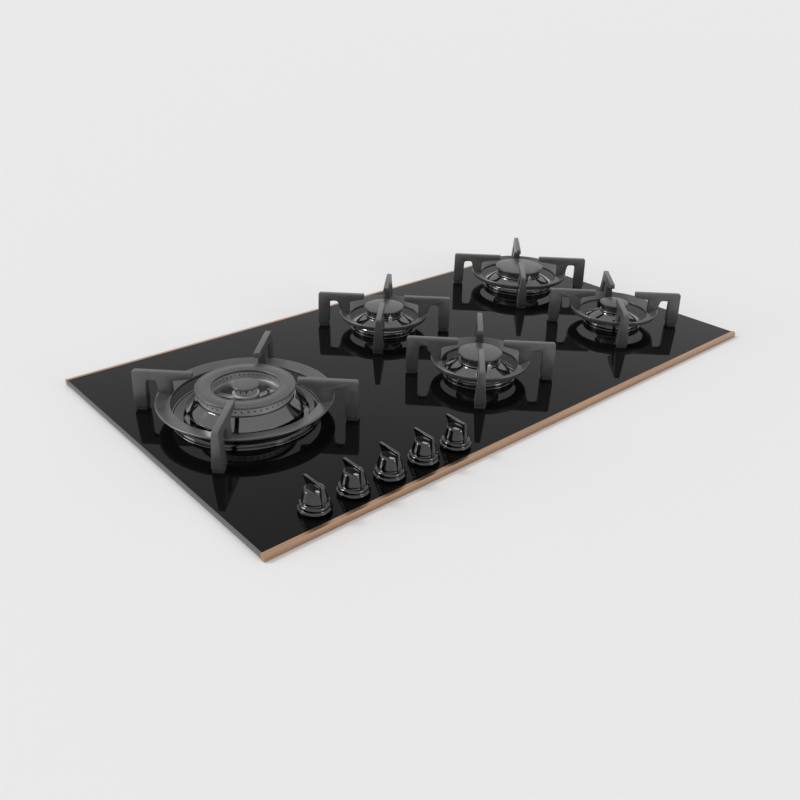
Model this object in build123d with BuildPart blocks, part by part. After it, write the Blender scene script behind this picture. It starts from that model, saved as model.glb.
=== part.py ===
from build123d import *
import os
from math import asin, atan2, cos, degrees, radians, sin

# Built-in gas hob, 90 cm wide, on black glass, with five burners and five top-mounted knobs.
# Frame: the origin is the centre of the worktop seat, the plane that the glass's foam seal
# rests on.  +X runs along the long side, to the right seen from the front, +Y to the back, +Z up.
# Millimetres.  Burner parts are drawn on upright planes whose local x is the radius and whose
# local y is the height above the glass.

# ---------------------------------------------------------------- driving dimensions
OVERALL_LENGTH = 900.0
OVERALL_DEPTH = 500.0
GLASS_THICKNESS = 6.0
GLASS_BEVEL = 1.8
GLASS_HOLE_MARGIN = 2.0
TRIM_WIDTH = 6.0
TRIM_PROUD = 0.4
TRIM_CHAMFER = 1.2
TRIM_LEDGE = 3.0
TRIM_LEDGE_THICKNESS = 0.8
TRIM_FOOT_GAP = 0.6
SEAL_THICKNESS = 2.0
SEAL_WIDTH = 5.0
SEAL_INSET = 1.0
SEAL_END_INSET = 9.0

CUTOUT_END_LAP = 28.0
CUTOUT_SIDE_LAP = 15.0
CUTOUT_GAP = 4.0
TRAY_DEPTH = 46.0
TRAY_SHEET = 1.0
TRAY_FLANGE = 3.5
TRAY_CORNER_R = 14.0
TRAY_FLOOR_R = 3.5
NOTCH_LENGTH = 66.0
NOTCH_DEPTH = 34.0
TURRET_TOP_R = 18.0
TURRET_FOOT_R = 20.0

# burner places, from the nearest end and long edge, and the radii that set each burner's size
WOK_FROM_END = 144.0
WOK_Y = 11.8
MID_REAR_X = 16.5
MID_FRONT_X = 10.5
RIGHT_REAR_FROM_END = 112.5
RIGHT_FRONT_FROM_END = 125.0
REAR_ROW_FROM_EDGE = 129.0
FRONT_ROW_FROM_EDGE = 153.0
SEMI_CAP_R = 31.0
SEMI_CROWN_R = 27.5
SEMI_BOWL_R = 52.0
SEMI_PORTS = 20
RAPID_CAP_R = 42.0
RAPID_CROWN_R = 38.0
RAPID_BOWL_R = 62.5
RAPID_PORTS = 26
SMALL_CAP_R = 22.5
SMALL_CROWN_R = 19.5
SMALL_BOWL_R = 46.0
SMALL_PORTS = 14

# heights above the glass that every burner shares
BOWL_SHEET = 1.2
BOWL_HEIGHT = 8.6
BOWL_FLOOR_WIDTH = 16.0
SKIRT_GAP = 2.2
SKIRT_LOW = 9.4
SKIRT_SHEET = 1.6
SKIRT_TOP = 21.0
CROWN_SEAT = 22.2
CROWN_TOP = 33.0
CROWN_WALL = 3.6
CROWN_FLOOR = 2.4
CROWN_LIP = 1.6
SPIGOT_R = 13.0
SPIGOT_WALL = 2.0
SPIGOT_LENGTH = 5.0
SPIGOT_GAP = 0.3
PORT_WIDTH = 1.8
PORT_DEPTH = 4.2
CAP_THICKNESS = 2.8
CAP_DOME = 2.8
CAP_SKIRT_DEPTH = 3.0
CAP_SKIRT_WALL = 1.5
CAP_GAP = 0.4
CUP_R = 18.0
CUP_WALL = 3.0
CUP_DEPTH = 33.0
CUP_FLOOR = 12.0
THROAT_R = 8.0
FOOT_FLANGE = 2.6
FOOT_OVERLAP = 6.0

# pan supports
SUPPORT_HEIGHT = 54.0
SMALL_ARM_R = 104.0
SMALL_TIP_R = 31.6
SMALL_RING_R = 70.0
SMALL_RING_BORE_R = 54.0
RAPID_ARM_R = 117.0
RAPID_TIP_R = 34.5
RAPID_RING_R = 84.5
RAPID_RING_BORE_R = 67.0
WOK_ARM_R = 145.0
WOK_TIP_R = 67.5
WOK_RING_R = 113.3
WOK_RING_BORE_R = 94.5
RING_INNER_HEIGHT = 20.5
RING_RIM_HEIGHT = 28.0
WOK_RING_INNER_HEIGHT = 23.5
WOK_RING_RIM_HEIGHT = 26.5
RING_WALL_HEIGHT = 8.0
WOK_RING_WALL_HEIGHT = 5.0
RING_THICKNESS = 4.5
LEG_WIDTH = 17.5
SLOT_WIDTH = 14.0
SLOT_TOP = 42.0
SLOT_R = 4.5
ARM_TIP_DEPTH = 7.5
ARM_ROOT_DEPTH = 12.0
ARM_TOP_WIDTH = 7.5
FOOT_WIDTH = 16.0
WOK_ARM_TOP_WIDTH = 8.0
WOK_FOOT_WIDTH = 15.0
ARM_EDGE_R = 1.2
ARM_CORNER_R = 3.0
ARM_ROOT_R = 3.0
PAD_HEIGHT = 5.0
PAD_INSET = 0.8
PAD_TENON_LENGTH = 8.0
PAD_TENON_WIDTH = 5.0
PAD_TENON_HEIGHT = 4.0
ARM_COUNT = 4
ARM_START_ANGLE = 45.0

# wok burner, with an outer and an inner flame ring
WOK_CAP_R = 63.8
WOK_CAP_BORE_R = 43.0
WOK_CAP_TOP = 40.8
WOK_CAP_THICKNESS = 2.8
WOK_CAP_EDGE_R = 1.5
WOK_CROWN_R = 60.5
WOK_CROWN_BORE_R = 44.5
WOK_CROWN_FLOOR = 27.6
WOK_CROWN_TOP = 36.5
WOK_CROWN_WALL = 2.0
WOK_CROWN_INTAKE_R = 3.0
WOK_CROWN_INTAKES = 12
WOK_PORT_COUNT = 48
WOK_PORT_R = 0.9
WOK_PORT_HEIGHT = 32.8
WOK_SKIRT_R = 76.0
WOK_SKIRT_LOW = 14.0
WOK_BOWL_R = 96.5
WOK_BOWL_BORE_R = 70.0
WOK_BOWL_HEIGHT = 6.0
WOK_DISH_LEVEL = 20.0
WOK_INNER_CAP_R = 17.6
WOK_INNER_CROWN_R = 15.0
WOK_INNER_SEAT = 28.5
WOK_INNER_CROWN_TOP = 38.9
WOK_INNER_PORTS = 12
WOK_BARREL_R = 17.0
WOK_CHANNEL_R = 40.0
WOK_SPOKE_WIDTH = 11.0
WOK_SPOKES = 3
WOK_FLANGE_R = 80.0

# knobs, spindles and taps
KNOB_COUNT = 5
KNOB_FROM_END = 85.0
KNOB_FROM_EDGE = 32.0
KNOB_PITCH = 52.5
KNOB_R = 19.3
KNOB_LIFT = 2.8
KNOB_RIM_HEIGHT = 2.8
KNOB_RING_R = 17.6
KNOB_RING_TOP = 11.6
KNOB_GROOVE_R = 14.4
KNOB_CONE_FOOT = 15.2
KNOB_CONE_R = 15.1
KNOB_NECK_R = 11.6
KNOB_NECK_HEIGHT = 28.0
KNOB_TOP = 37.0
BLADE_WIDTH = 3.4
BLADE_FRONT = 15.0
BLADE_BACK = 19.0
BLADE_FOOT_BACK = 13.0
BLADE_EDGE_R = 1.8
SPINDLE_R = 4.0
SPINDLE_TOP = 22.0
SPINDLE_FLAT = 2.6
SPINDLE_SQUARE = 5.0
GLASS_SPINDLE_HOLE_R = 8.0
RUNNING_GAP = 0.05
SOCKET_GAP = 0.1
PRESS_TRAVEL = 2.5
TAP_WIDTH = 24.0
TAP_FRONT = 9.5
TAP_REAR = 13.0
TAP_TOP = -10.0
TAP_NECK_R = 7.0
TAP_NECK_TOP = -3.0
PLUG_R = 7.5
PLUG_TOP = -14.0
PLUG_BOTTOM = -36.0
PLUG_SOCKET_DEPTH = 12.0
PLUG_POCKET = 1.6
SPINDLE_BOTTOM = -22.0

# gas line
RAIL_R = 6.0
RAIL_BORE_R = 4.5
RAIL_FROM_KNOBS = 25.0
RAIL_Z = -30.0
RAIL_BEND_R = 22.0
RAIL_SIDE_GAP = 30.0
CLAMP_WALL = 3.0
PIPE_R = 2.5
PIPE_BORE_R = 1.7
PIPE_BEND_R = 12.0
PIPE_SEAT = 6.0
BOSS_R = 4.2
BOSS_LENGTH = 8.0
OUTLET_R = 4.2
OUTLET_LENGTH = 8.0
LANE_PITCH = 9.0
LANES_FROM_KNOBS = 40.0
INLET_THREAD_R = 10.48
INLET_THREAD_LENGTH = 15.0
INLET_NECK_R = 9.4
INLET_RELIEF = 1.0
INLET_HOLE_GAP = 0.3
INLET_COLLAR_R = 12.0
INLET_COLLAR_LENGTH = 14.0
INLET_SOCKET_DEPTH = 10.0
INJECTOR_R = 4.0
INJECTOR_HEX = 9.0
INJECTOR_HEX_HEIGHT = 5.0
INJECTOR_LENGTH = 7.0
INJECTOR_BORE_R = 0.6

# ignition, flame sensing and mains
PROBE_ANGLE = -112.0
THERMO_ANGLE = 75.0
PROBE_STANDOFF = 5.2
PROBE_R = 2.9
PROBE_TOP = 30.0
PROBE_TIP_R = 0.8
PROBE_TIP_HEIGHT = 2.6
PROBE_BOTTOM = -12.0
THERMO_TOP = 23.5
WOK_PROBE_RADIUS = 22.5
WOK_PROBE_ANGLE = 195.0
WOK_PROBE_TOP = 34.0
WOK_THERMO_RADIUS = 29.0
WOK_THERMO_ANGLE = -20.0
THERMO_R = 2.0
THERMO_TIP_R = 1.5
THERMO_TIP_HEIGHT = 6.0
LEAD_R = 1.25
LEAD_Z = -40.0
LEAD_BEND_R = 5.0
FEED_R = 1.6
FEED_Y = 62.0
FEED_Z = -43.3
SPARK_X = 175.0
SPARK_Y = 10.0
SPARK_LENGTH = 60.0
SPARK_WIDTH = 42.0
SPARK_HEIGHT = 24.0
SPARK_TERMINAL_R = 2.4
SPARK_TERMINAL_LENGTH = 6.0
SPARK_TERMINAL_PITCH = 10.0
MAINS_X = -190.0
MAINS_LENGTH = 62.0
MAINS_WIDTH = 36.0
MAINS_HEIGHT = 26.0
GLAND_R = 8.0
GLAND_BORE_R = 4.5
GLAND_LENGTH = 5.0

# fixing clamps
CLAMP_Y = 150.0
BRACKET_WIDTH = 22.0
BRACKET_SHEET = 1.5
BRACKET_REACH = 20.0
BRACKET_HEIGHT = 16.0
BRACKET_FOOT_Z = -42.0
BRACKET_RISER = 9.0
SCREW_R = 2.5
SCREW_HEAD_R = 4.5
SCREW_HEAD_HEIGHT = 3.0
SCREW_TIP_Z = -30.0
SCREW_REACH = 12.0
FIXING_R = 1.5
FIXING_HEAD_R = 3.0
FIXING_HEAD_HEIGHT = 1.8
FIXING_LENGTH = 7.0

# ---------------------------------------------------------------- levels and limits
GLASS_BOTTOM = SEAL_THICKNESS
GLASS_TOP = GLASS_BOTTOM + GLASS_THICKNESS
GLASS_DEPTH = OVERALL_DEPTH - 2 * TRIM_WIDTH
TRAY_BOTTOM = -TRAY_DEPTH
TRAY_FLOOR = TRAY_BOTTOM + TRAY_SHEET
TRAY_HALF_LENGTH = OVERALL_LENGTH / 2 - CUTOUT_END_LAP - CUTOUT_GAP
TRAY_HALF_DEPTH = OVERALL_DEPTH / 2 - CUTOUT_SIDE_LAP - CUTOUT_GAP
NOTCH_X = TRAY_HALF_LENGTH - NOTCH_LENGTH
NOTCH_Y = TRAY_HALF_DEPTH - NOTCH_DEPTH
PIPE_Z = GLASS_TOP - CUP_DEPTH + CUP_FLOOR / 2
WOK_X = WOK_FROM_END - OVERALL_LENGTH / 2
RIGHT_REAR_X = OVERALL_LENGTH / 2 - RIGHT_REAR_FROM_END
RIGHT_FRONT_X = OVERALL_LENGTH / 2 - RIGHT_FRONT_FROM_END
REAR_ROW_Y = OVERALL_DEPTH / 2 - REAR_ROW_FROM_EDGE
FRONT_ROW_Y = FRONT_ROW_FROM_EDGE - OVERALL_DEPTH / 2
KNOB_Y = KNOB_FROM_EDGE - OVERALL_DEPTH / 2
KNOB_XS = [KNOB_FROM_END - OVERALL_LENGTH / 2 + KNOB_PITCH * i for i in range(KNOB_COUNT)]
RAIL_Y = KNOB_Y + RAIL_FROM_KNOBS

# name: (x, y, cap radius, crown radius, bowl radius, ports)
BURNERS = {
    "mid_rear": (MID_REAR_X, REAR_ROW_Y, SEMI_CAP_R, SEMI_CROWN_R, SEMI_BOWL_R, SEMI_PORTS),
    "mid_front": (MID_FRONT_X, FRONT_ROW_Y, SEMI_CAP_R, SEMI_CROWN_R, SEMI_BOWL_R, SEMI_PORTS),
    "right_rear": (
        RIGHT_REAR_X, REAR_ROW_Y, RAPID_CAP_R, RAPID_CROWN_R, RAPID_BOWL_R, RAPID_PORTS,
    ),
    "right_front": (
        RIGHT_FRONT_X, FRONT_ROW_Y, SMALL_CAP_R, SMALL_CROWN_R, SMALL_BOWL_R, SMALL_PORTS,
    ),
}
PLACES = {"wok": (WOK_X, WOK_Y), **{name: spec[:2] for name, spec in BURNERS.items()}}

# the burner that each tap feeds, from the leftmost knob to the rightmost
TAP_FEEDS = ["wok", "mid_rear", "mid_front", "right_rear", "right_front"]

os.makedirs("parts", exist_ok=True)


def keep(solid, label):
    """Label a finished piece and write its STEP file."""
    solid.label = label
    export_step(solid, f"parts/{label}.step")


def upright(x, y, angle=0.0):
    """Plane through a burner's axis: local x is outwards at the angle, local y is the height."""
    a = radians(angle)
    return Plane(origin=(x, y, GLASS_TOP), x_dir=(cos(a), sin(a), 0), z_dir=(sin(a), -cos(a), 0))


def turned(x, y, outline):
    """A solid of revolution about a burner's axis, from (radius, height) points."""
    with BuildPart() as piece:
        with BuildSketch(upright(x, y)):
            with BuildLine():
                Polyline(*outline, close=True)
            make_face()
        revolve(axis=Axis((x, y, 0), (0, 0, 1)))
    return piece.part


def rod(start, heading, radius, length):
    """A round bar from a start point along a heading."""
    with BuildPart() as piece:
        with BuildSketch(Plane(origin=start, z_dir=heading)):
            Circle(radius)
        extrude(amount=length)
    return piece.part


def level(z):
    return Plane.XY.offset(z)


def facing_back(x, y, z):
    """Upright plane whose normal points to the back of the hob."""
    return Plane(origin=(x, y, z), x_dir=(1, 0, 0), z_dir=(0, 1, 0))


# ---------------------------------------------------------------- glass, trims and seal
def probe_points(name):
    """Centres of a burner's spark electrode and flame probe."""
    x, y = PLACES[name]
    if name == "wok":
        spots = ((WOK_PROBE_RADIUS, WOK_PROBE_ANGLE), (WOK_THERMO_RADIUS, WOK_THERMO_ANGLE))
    else:
        reach = BURNERS[name][3] + PROBE_STANDOFF
        spots = ((reach, PROBE_ANGLE), (reach, THERMO_ANGLE))
    return [(x + r * cos(radians(a)), y + r * sin(radians(a))) for r, a in spots]


def glass_hole_r(name):
    """Burner hole in the glass, a little wider than the bore of the burner's bowl."""
    bore_r = WOK_BOWL_BORE_R if name == "wok" else BURNERS[name][4] - BOWL_FLOOR_WIDTH
    return bore_r + GLASS_HOLE_MARGIN


def make_glass():
    with BuildPart() as glass:
        with BuildSketch(level(GLASS_BOTTOM)):
            Rectangle(OVERALL_LENGTH, GLASS_DEPTH)
        extrude(amount=GLASS_THICKNESS)
        top = glass.faces().sort_by(Axis.Z)[-1]
        chamfer(top.edges().filter_by(Axis.Y), length=GLASS_BEVEL)
        with BuildSketch(level(GLASS_BOTTOM)):
            for name, (x, y) in PLACES.items():
                with Locations((x, y)):
                    Circle(glass_hole_r(name))
            with Locations(*[(x, KNOB_Y) for x in KNOB_XS]):
                Circle(GLASS_SPINDLE_HOLE_R)
        extrude(amount=GLASS_THICKNESS, mode=Mode.SUBTRACT)
    keep(glass.part, "glass_top")


def make_trims():
    """Bonded metal edge strips along the two long sides."""
    inner = GLASS_DEPTH / 2
    outer = OVERALL_DEPTH / 2
    top = GLASS_TOP + TRIM_PROUD
    ledge = GLASS_BOTTOM - TRIM_LEDGE_THICKNESS
    outline = [
        (inner, GLASS_BOTTOM), (inner, top), (outer - TRIM_CHAMFER, top),
        (outer, top - TRIM_CHAMFER), (outer, TRIM_FOOT_GAP), (inner + 1.0, TRIM_FOOT_GAP),
        (inner - TRIM_LEDGE, ledge), (inner - TRIM_LEDGE, GLASS_BOTTOM),
    ]
    with BuildPart() as trims:
        for side in (-1, 1):
            with BuildSketch(Plane.YZ.offset(-OVERALL_LENGTH / 2)):
                with BuildLine():
                    Polyline(*[(side * y, z) for y, z in outline], close=True)
                make_face()
            extrude(amount=OVERALL_LENGTH)
    keep(trims.part, "edge_trims")


def make_seal():
    half_depth = GLASS_DEPTH / 2 - TRIM_LEDGE - SEAL_INSET
    half_length = OVERALL_LENGTH / 2 - SEAL_END_INSET
    with BuildPart() as seal:
        with BuildSketch():
            Rectangle(2 * half_length, 2 * half_depth)
            Rectangle(
                2 * (half_length - SEAL_WIDTH), 2 * (half_depth - SEAL_WIDTH),
                mode=Mode.SUBTRACT,
            )
        extrude(amount=SEAL_THICKNESS)
    keep(seal.part, "worktop_seal")


# ---------------------------------------------------------------- tray under the worktop
def tray_outline(grow):
    """Plan of the tray, with the rear right corner stepped in around the gas inlet."""
    half_x = TRAY_HALF_LENGTH + grow
    half_y = TRAY_HALF_DEPTH + grow
    Polygon(
        (-half_x, -half_y), (half_x, -half_y), (half_x, NOTCH_Y + grow),
        (NOTCH_X + grow, NOTCH_Y + grow), (NOTCH_X + grow, half_y), (-half_x, half_y),
        align=None,
    )


def make_tray():
    with BuildPart() as tray:
        with BuildSketch(level(TRAY_BOTTOM)) as plan:
            tray_outline(0)
            fillet(plan.vertices(), TRAY_CORNER_R)
        extrude(amount=TRAY_DEPTH + GLASS_BOTTOM)
        fillet(tray.faces().sort_by(Axis.Z)[0].edges(), TRAY_FLOOR_R)
        offset(amount=-TRAY_SHEET, openings=tray.faces().sort_by(Axis.Z)[-1])
        with BuildSketch(level(GLASS_BOTTOM - TRAY_SHEET)) as rim:
            tray_outline(TRAY_FLANGE)
            fillet(rim.vertices(), TRAY_CORNER_R)
            with BuildSketch(level(GLASS_BOTTOM - TRAY_SHEET), mode=Mode.PRIVATE) as hole:
                tray_outline(-TRAY_SHEET)
                fillet(hole.vertices(), TRAY_CORNER_R - TRAY_SHEET)
            add(hole.sketch, mode=Mode.SUBTRACT)
        extrude(amount=TRAY_SHEET)
        # turrets pressed up from the floor carry the burner cups
        cup_bottom = GLASS_TOP - CUP_DEPTH
        for x, y in PLACES.values():
            with BuildSketch(Plane(origin=(x, y, 0), x_dir=(1, 0, 0), z_dir=(0, -1, 0))):
                with BuildLine():
                    Polyline(
                        (0, cup_bottom), (TURRET_TOP_R, cup_bottom),
                        (TURRET_FOOT_R, TRAY_FLOOR - 0.5), (0, TRAY_FLOOR - 0.5), close=True,
                    )
                make_face()
            revolve(axis=Axis((x, y, 0), (0, 0, 1)))
            with BuildSketch(Plane(origin=(x, y, 0), x_dir=(1, 0, 0), z_dir=(0, -1, 0))):
                with BuildLine():
                    Polyline(
                        (0, cup_bottom - TRAY_SHEET),
                        (TURRET_TOP_R - TRAY_SHEET, cup_bottom - TRAY_SHEET),
                        (TURRET_FOOT_R - TRAY_SHEET, TRAY_BOTTOM), (0, TRAY_BOTTOM), close=True,
                    )
                make_face()
            revolve(axis=Axis((x, y, 0), (0, 0, 1)), mode=Mode.SUBTRACT)
        # ways out for the gas inlet and the mains lead
        with BuildSketch(Plane.XZ.offset(-NOTCH_Y - TRAY_SHEET)):
            with Locations((inlet_x(), RAIL_Z)):
                Circle(INLET_THREAD_R + INLET_HOLE_GAP)
        extrude(amount=2 * TRAY_SHEET, mode=Mode.SUBTRACT)
        with BuildSketch(Plane.XZ.offset(-TRAY_HALF_DEPTH - TRAY_SHEET)):
            with Locations((MAINS_X, mains_z())):
                Circle(GLAND_R)
        extrude(amount=3 * TRAY_SHEET, mode=Mode.SUBTRACT)
        add(fixing_holes(), mode=Mode.SUBTRACT)
    keep(tray.part, "base_tray")


def inlet_x():
    return TRAY_HALF_LENGTH - RAIL_SIDE_GAP


def mains_z():
    return TRAY_FLOOR + MAINS_HEIGHT / 2


def fixing_holes():
    """Holes through the bracket walls and the tray's side walls."""
    fixing_z = BRACKET_FOOT_Z + BRACKET_HEIGHT - FIXING_HEAD_R - 1.0
    with BuildPart() as holes:
        for y in (-CLAMP_Y, CLAMP_Y):
            with BuildSketch(Plane(origin=(0, y, fixing_z), x_dir=(0, 1, 0), z_dir=(1, 0, 0))):
                Circle(FIXING_R)
            extrude(amount=TRAY_HALF_LENGTH + BRACKET_REACH, both=True)
    return holes.part


def make_clamps():
    """Four corner brackets with the screws that pull the hob down on the worktop."""
    with BuildPart() as brackets:
        for side in (-1, 1):
            wall = TRAY_HALF_LENGTH
            outline = [
                (wall, BRACKET_FOOT_Z + BRACKET_HEIGHT), (wall, BRACKET_FOOT_Z),
                (wall + BRACKET_REACH, BRACKET_FOOT_Z),
                (wall + BRACKET_REACH, BRACKET_FOOT_Z + BRACKET_RISER),
                (wall + BRACKET_REACH - BRACKET_SHEET, BRACKET_FOOT_Z + BRACKET_RISER),
                (wall + BRACKET_REACH - BRACKET_SHEET, BRACKET_FOOT_Z + BRACKET_SHEET),
                (wall + BRACKET_SHEET, BRACKET_FOOT_Z + BRACKET_SHEET),
                (wall + BRACKET_SHEET, BRACKET_FOOT_Z + BRACKET_HEIGHT),
            ]
            for y in (-CLAMP_Y, CLAMP_Y):
                with BuildSketch(Plane(origin=(0, y, 0), x_dir=(1, 0, 0), z_dir=(0, -1, 0))):
                    with BuildLine():
                        Polyline(*[(side * x, z) for x, z in outline], close=True)
                    make_face()
                extrude(amount=BRACKET_WIDTH / 2, both=True)
        with BuildSketch(level(BRACKET_FOOT_Z)):
            with Locations(*screw_points()):
                Circle(SCREW_R)
        extrude(amount=BRACKET_SHEET, mode=Mode.SUBTRACT)
        add(fixing_holes(), mode=Mode.SUBTRACT)
    keep(brackets.part, "clamp_brackets")
    with BuildPart() as screws:
        with BuildSketch(level(BRACKET_FOOT_Z)):
            with Locations(*screw_points()):
                Circle(SCREW_R)
        extrude(amount=SCREW_TIP_Z - BRACKET_FOOT_Z)
        with BuildSketch(level(BRACKET_FOOT_Z - SCREW_HEAD_HEIGHT)):
            with Locations(*screw_points()):
                Circle(SCREW_HEAD_R)
        extrude(amount=SCREW_HEAD_HEIGHT)
    keep(screws.part, "clamp_screws")
    fixing_z = BRACKET_FOOT_Z + BRACKET_HEIGHT - FIXING_HEAD_R - 1.0
    with BuildPart() as fixings:
        for side in (-1, 1):
            for y in (-CLAMP_Y, CLAMP_Y):
                head = (side * (TRAY_HALF_LENGTH + BRACKET_SHEET), y, fixing_z)
                with BuildSketch(Plane(origin=head, x_dir=(0, 1, 0), z_dir=(side, 0, 0))):
                    Circle(FIXING_HEAD_R)
                extrude(amount=FIXING_HEAD_HEIGHT)
                with BuildSketch(Plane(origin=head, x_dir=(0, 1, 0), z_dir=(-side, 0, 0))):
                    Circle(FIXING_R)
                extrude(amount=FIXING_LENGTH)
    keep(fixings.part, "bracket_screws")


def screw_points():
    reach = TRAY_HALF_LENGTH + SCREW_REACH
    return [(sx * reach, sy * CLAMP_Y) for sx in (-1, 1) for sy in (-1, 1)]


# ---------------------------------------------------------------- the four round burners
def make_bowl(name):
    """Polished ring that sits on the glass, with two rolled steps on its outside."""
    x, y, cap_r, crown_r, bowl_r, ports = BURNERS[name]
    bore_r = bowl_r - BOWL_FLOOR_WIDTH
    lip_r = bowl_r - SKIRT_GAP
    third = BOWL_HEIGHT / 3
    return turned(x, y, [
        (bore_r, 0), (bowl_r, 0), (bowl_r, third), (bowl_r - 1.0, third + 0.5),
        (bowl_r - 0.4, 2 * third), (bowl_r - 0.4, BOWL_HEIGHT - 0.6), (lip_r, BOWL_HEIGHT),
        (lip_r - 0.6, BOWL_HEIGHT - 0.8), (lip_r - 0.6, BOWL_SHEET), (bore_r, BOWL_SHEET),
    ])


def make_base(name):
    """Cast burner cup: mixing barrel through the glass, foot flange and polished skirt."""
    x, y, cap_r, crown_r, bowl_r, ports = BURNERS[name]
    top_r = crown_r + CROWN_LIP + 0.8
    skirt_r = bowl_r - SKIRT_GAP - 1.2
    foot_r = bowl_r - BOWL_FLOOR_WIDTH + FOOT_OVERLAP
    bore_r = SPIGOT_R + SPIGOT_GAP
    foot_top = BOWL_SHEET + FOOT_FLANGE
    under_top = SKIRT_TOP - 2 * SKIRT_SHEET
    floor_top = -CUP_DEPTH + CUP_FLOOR
    inner_r = CUP_R - CUP_WALL
    body = turned(x, y, [
        (INJECTOR_R, -CUP_DEPTH), (CUP_R, -CUP_DEPTH), (CUP_R, BOWL_SHEET),
        (foot_r, BOWL_SHEET), (foot_r, foot_top), (CUP_R, foot_top), (CUP_R, under_top),
        (top_r - SKIRT_SHEET, under_top), (skirt_r - SKIRT_SHEET, SKIRT_LOW - SKIRT_SHEET),
        (skirt_r, SKIRT_LOW - SKIRT_SHEET), (skirt_r, SKIRT_LOW), (top_r, SKIRT_TOP - 0.8),
        (top_r - 0.8, SKIRT_TOP), (CUP_R, SKIRT_TOP), (CUP_R, CROWN_SEAT), (bore_r, CROWN_SEAT),
        (bore_r, CROWN_SEAT - SPIGOT_LENGTH - SPIGOT_GAP),
        (THROAT_R, CROWN_SEAT - SPIGOT_LENGTH - 2.0), (THROAT_R, 8.0), (inner_r, 2.0),
        (inner_r, floor_top), (INJECTOR_R, floor_top),
    ])
    with BuildPart() as base:
        add(body)
        add(gas_boss(x, y))
        add(gas_way(x, y), mode=Mode.SUBTRACT)
        add(probe_holes(name), mode=Mode.SUBTRACT)
    return base.part


def gas_boss(x, y):
    """Side boss of a burner, towards the front."""
    mouth = CUP_R + BOSS_LENGTH
    return rod((x, y - mouth, PIPE_Z), (0, 1, 0), BOSS_R, mouth - INJECTOR_R - 1.0)


def gas_way(x, y):
    """The way drilled through the boss: a seat for the pipe and a narrower bore behind it."""
    mouth = CUP_R + BOSS_LENGTH
    seat = rod((x, y - mouth, PIPE_Z), (0, 1, 0), PIPE_R, PIPE_SEAT)
    bore = rod((x, y - mouth, PIPE_Z), (0, 1, 0), PIPE_BORE_R, mouth)
    return seat + bore


def probe_holes(name):
    """Holes for the spark electrode and the flame probe, up through a burner's skirt."""
    electrode, sensor = probe_points(name)
    with BuildPart() as holes:
        with BuildSketch(level(GLASS_TOP)):
            with Locations(electrode):
                Circle(PROBE_R)
            with Locations(sensor):
                Circle(THERMO_R)
        extrude(amount=PROBE_TOP)
    return holes.part


def make_crown(name):
    """Flame spreader: an open pot with ports cut down from its rim, a groove and a spigot."""
    x, y, cap_r, crown_r, bowl_r, ports = BURNERS[name]
    inner_r = crown_r - CROWN_WALL
    spigot_in = SPIGOT_R - SPIGOT_WALL
    body = turned(x, y, [
        (spigot_in, CROWN_SEAT - SPIGOT_LENGTH), (SPIGOT_R, CROWN_SEAT - SPIGOT_LENGTH),
        (SPIGOT_R, CROWN_SEAT), (crown_r + CROWN_LIP, CROWN_SEAT),
        (crown_r + CROWN_LIP, CROWN_SEAT + 1.4), (crown_r - 0.7, CROWN_SEAT + 1.9),
        (crown_r - 0.7, CROWN_SEAT + 2.9), (crown_r, CROWN_SEAT + 3.3),
        (crown_r, CROWN_TOP), (inner_r, CROWN_TOP), (inner_r, CROWN_SEAT + CROWN_FLOOR),
        (spigot_in, CROWN_SEAT + CROWN_FLOOR),
    ])
    with BuildPart() as crown:
        add(body)
        with BuildSketch(level(GLASS_TOP + CROWN_TOP)):
            with Locations((x, y)):
                with PolarLocations(crown_r - CROWN_WALL / 2, ports):
                    Rectangle(2 * CROWN_WALL, PORT_WIDTH)
        extrude(amount=-PORT_DEPTH, mode=Mode.SUBTRACT)
    return crown.part


def make_cap(name):
    """Enamelled lid with a shallow dome and a locating skirt inside the crown."""
    x, y, cap_r, crown_r, bowl_r, ports = BURNERS[name]
    skirt_r = crown_r - CROWN_WALL - CAP_GAP
    edge_top = CROWN_TOP + CAP_THICKNESS
    # the dome is part of a sphere through its rim and its middle
    span = cap_r - 0.6
    sphere_r = (span ** 2 + CAP_DOME ** 2) / (2 * CAP_DOME)
    half_angle = asin(span / sphere_r) / 2
    drop = sphere_r * (1 - cos(half_angle))
    halfway = (sphere_r * sin(half_angle), edge_top + CAP_DOME - drop)
    with BuildPart() as cap:
        with BuildSketch(upright(x, y)):
            with BuildLine():
                Polyline(
                    (0, edge_top + CAP_DOME), (0, CROWN_TOP), (skirt_r - CAP_SKIRT_WALL, CROWN_TOP),
                    (skirt_r - CAP_SKIRT_WALL, CROWN_TOP - CAP_SKIRT_DEPTH),
                    (skirt_r, CROWN_TOP - CAP_SKIRT_DEPTH), (skirt_r, CROWN_TOP),
                    (cap_r - 0.9, CROWN_TOP), (cap_r, CROWN_TOP + 0.9), (cap_r, edge_top - 0.5),
                    (cap_r - 0.6, edge_top),
                )
                ThreePointArc((cap_r - 0.6, edge_top), halfway, (0, edge_top + CAP_DOME))
            make_face()
        revolve(axis=Axis((x, y, 0), (0, 0, 1)))
    return cap.part


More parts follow.
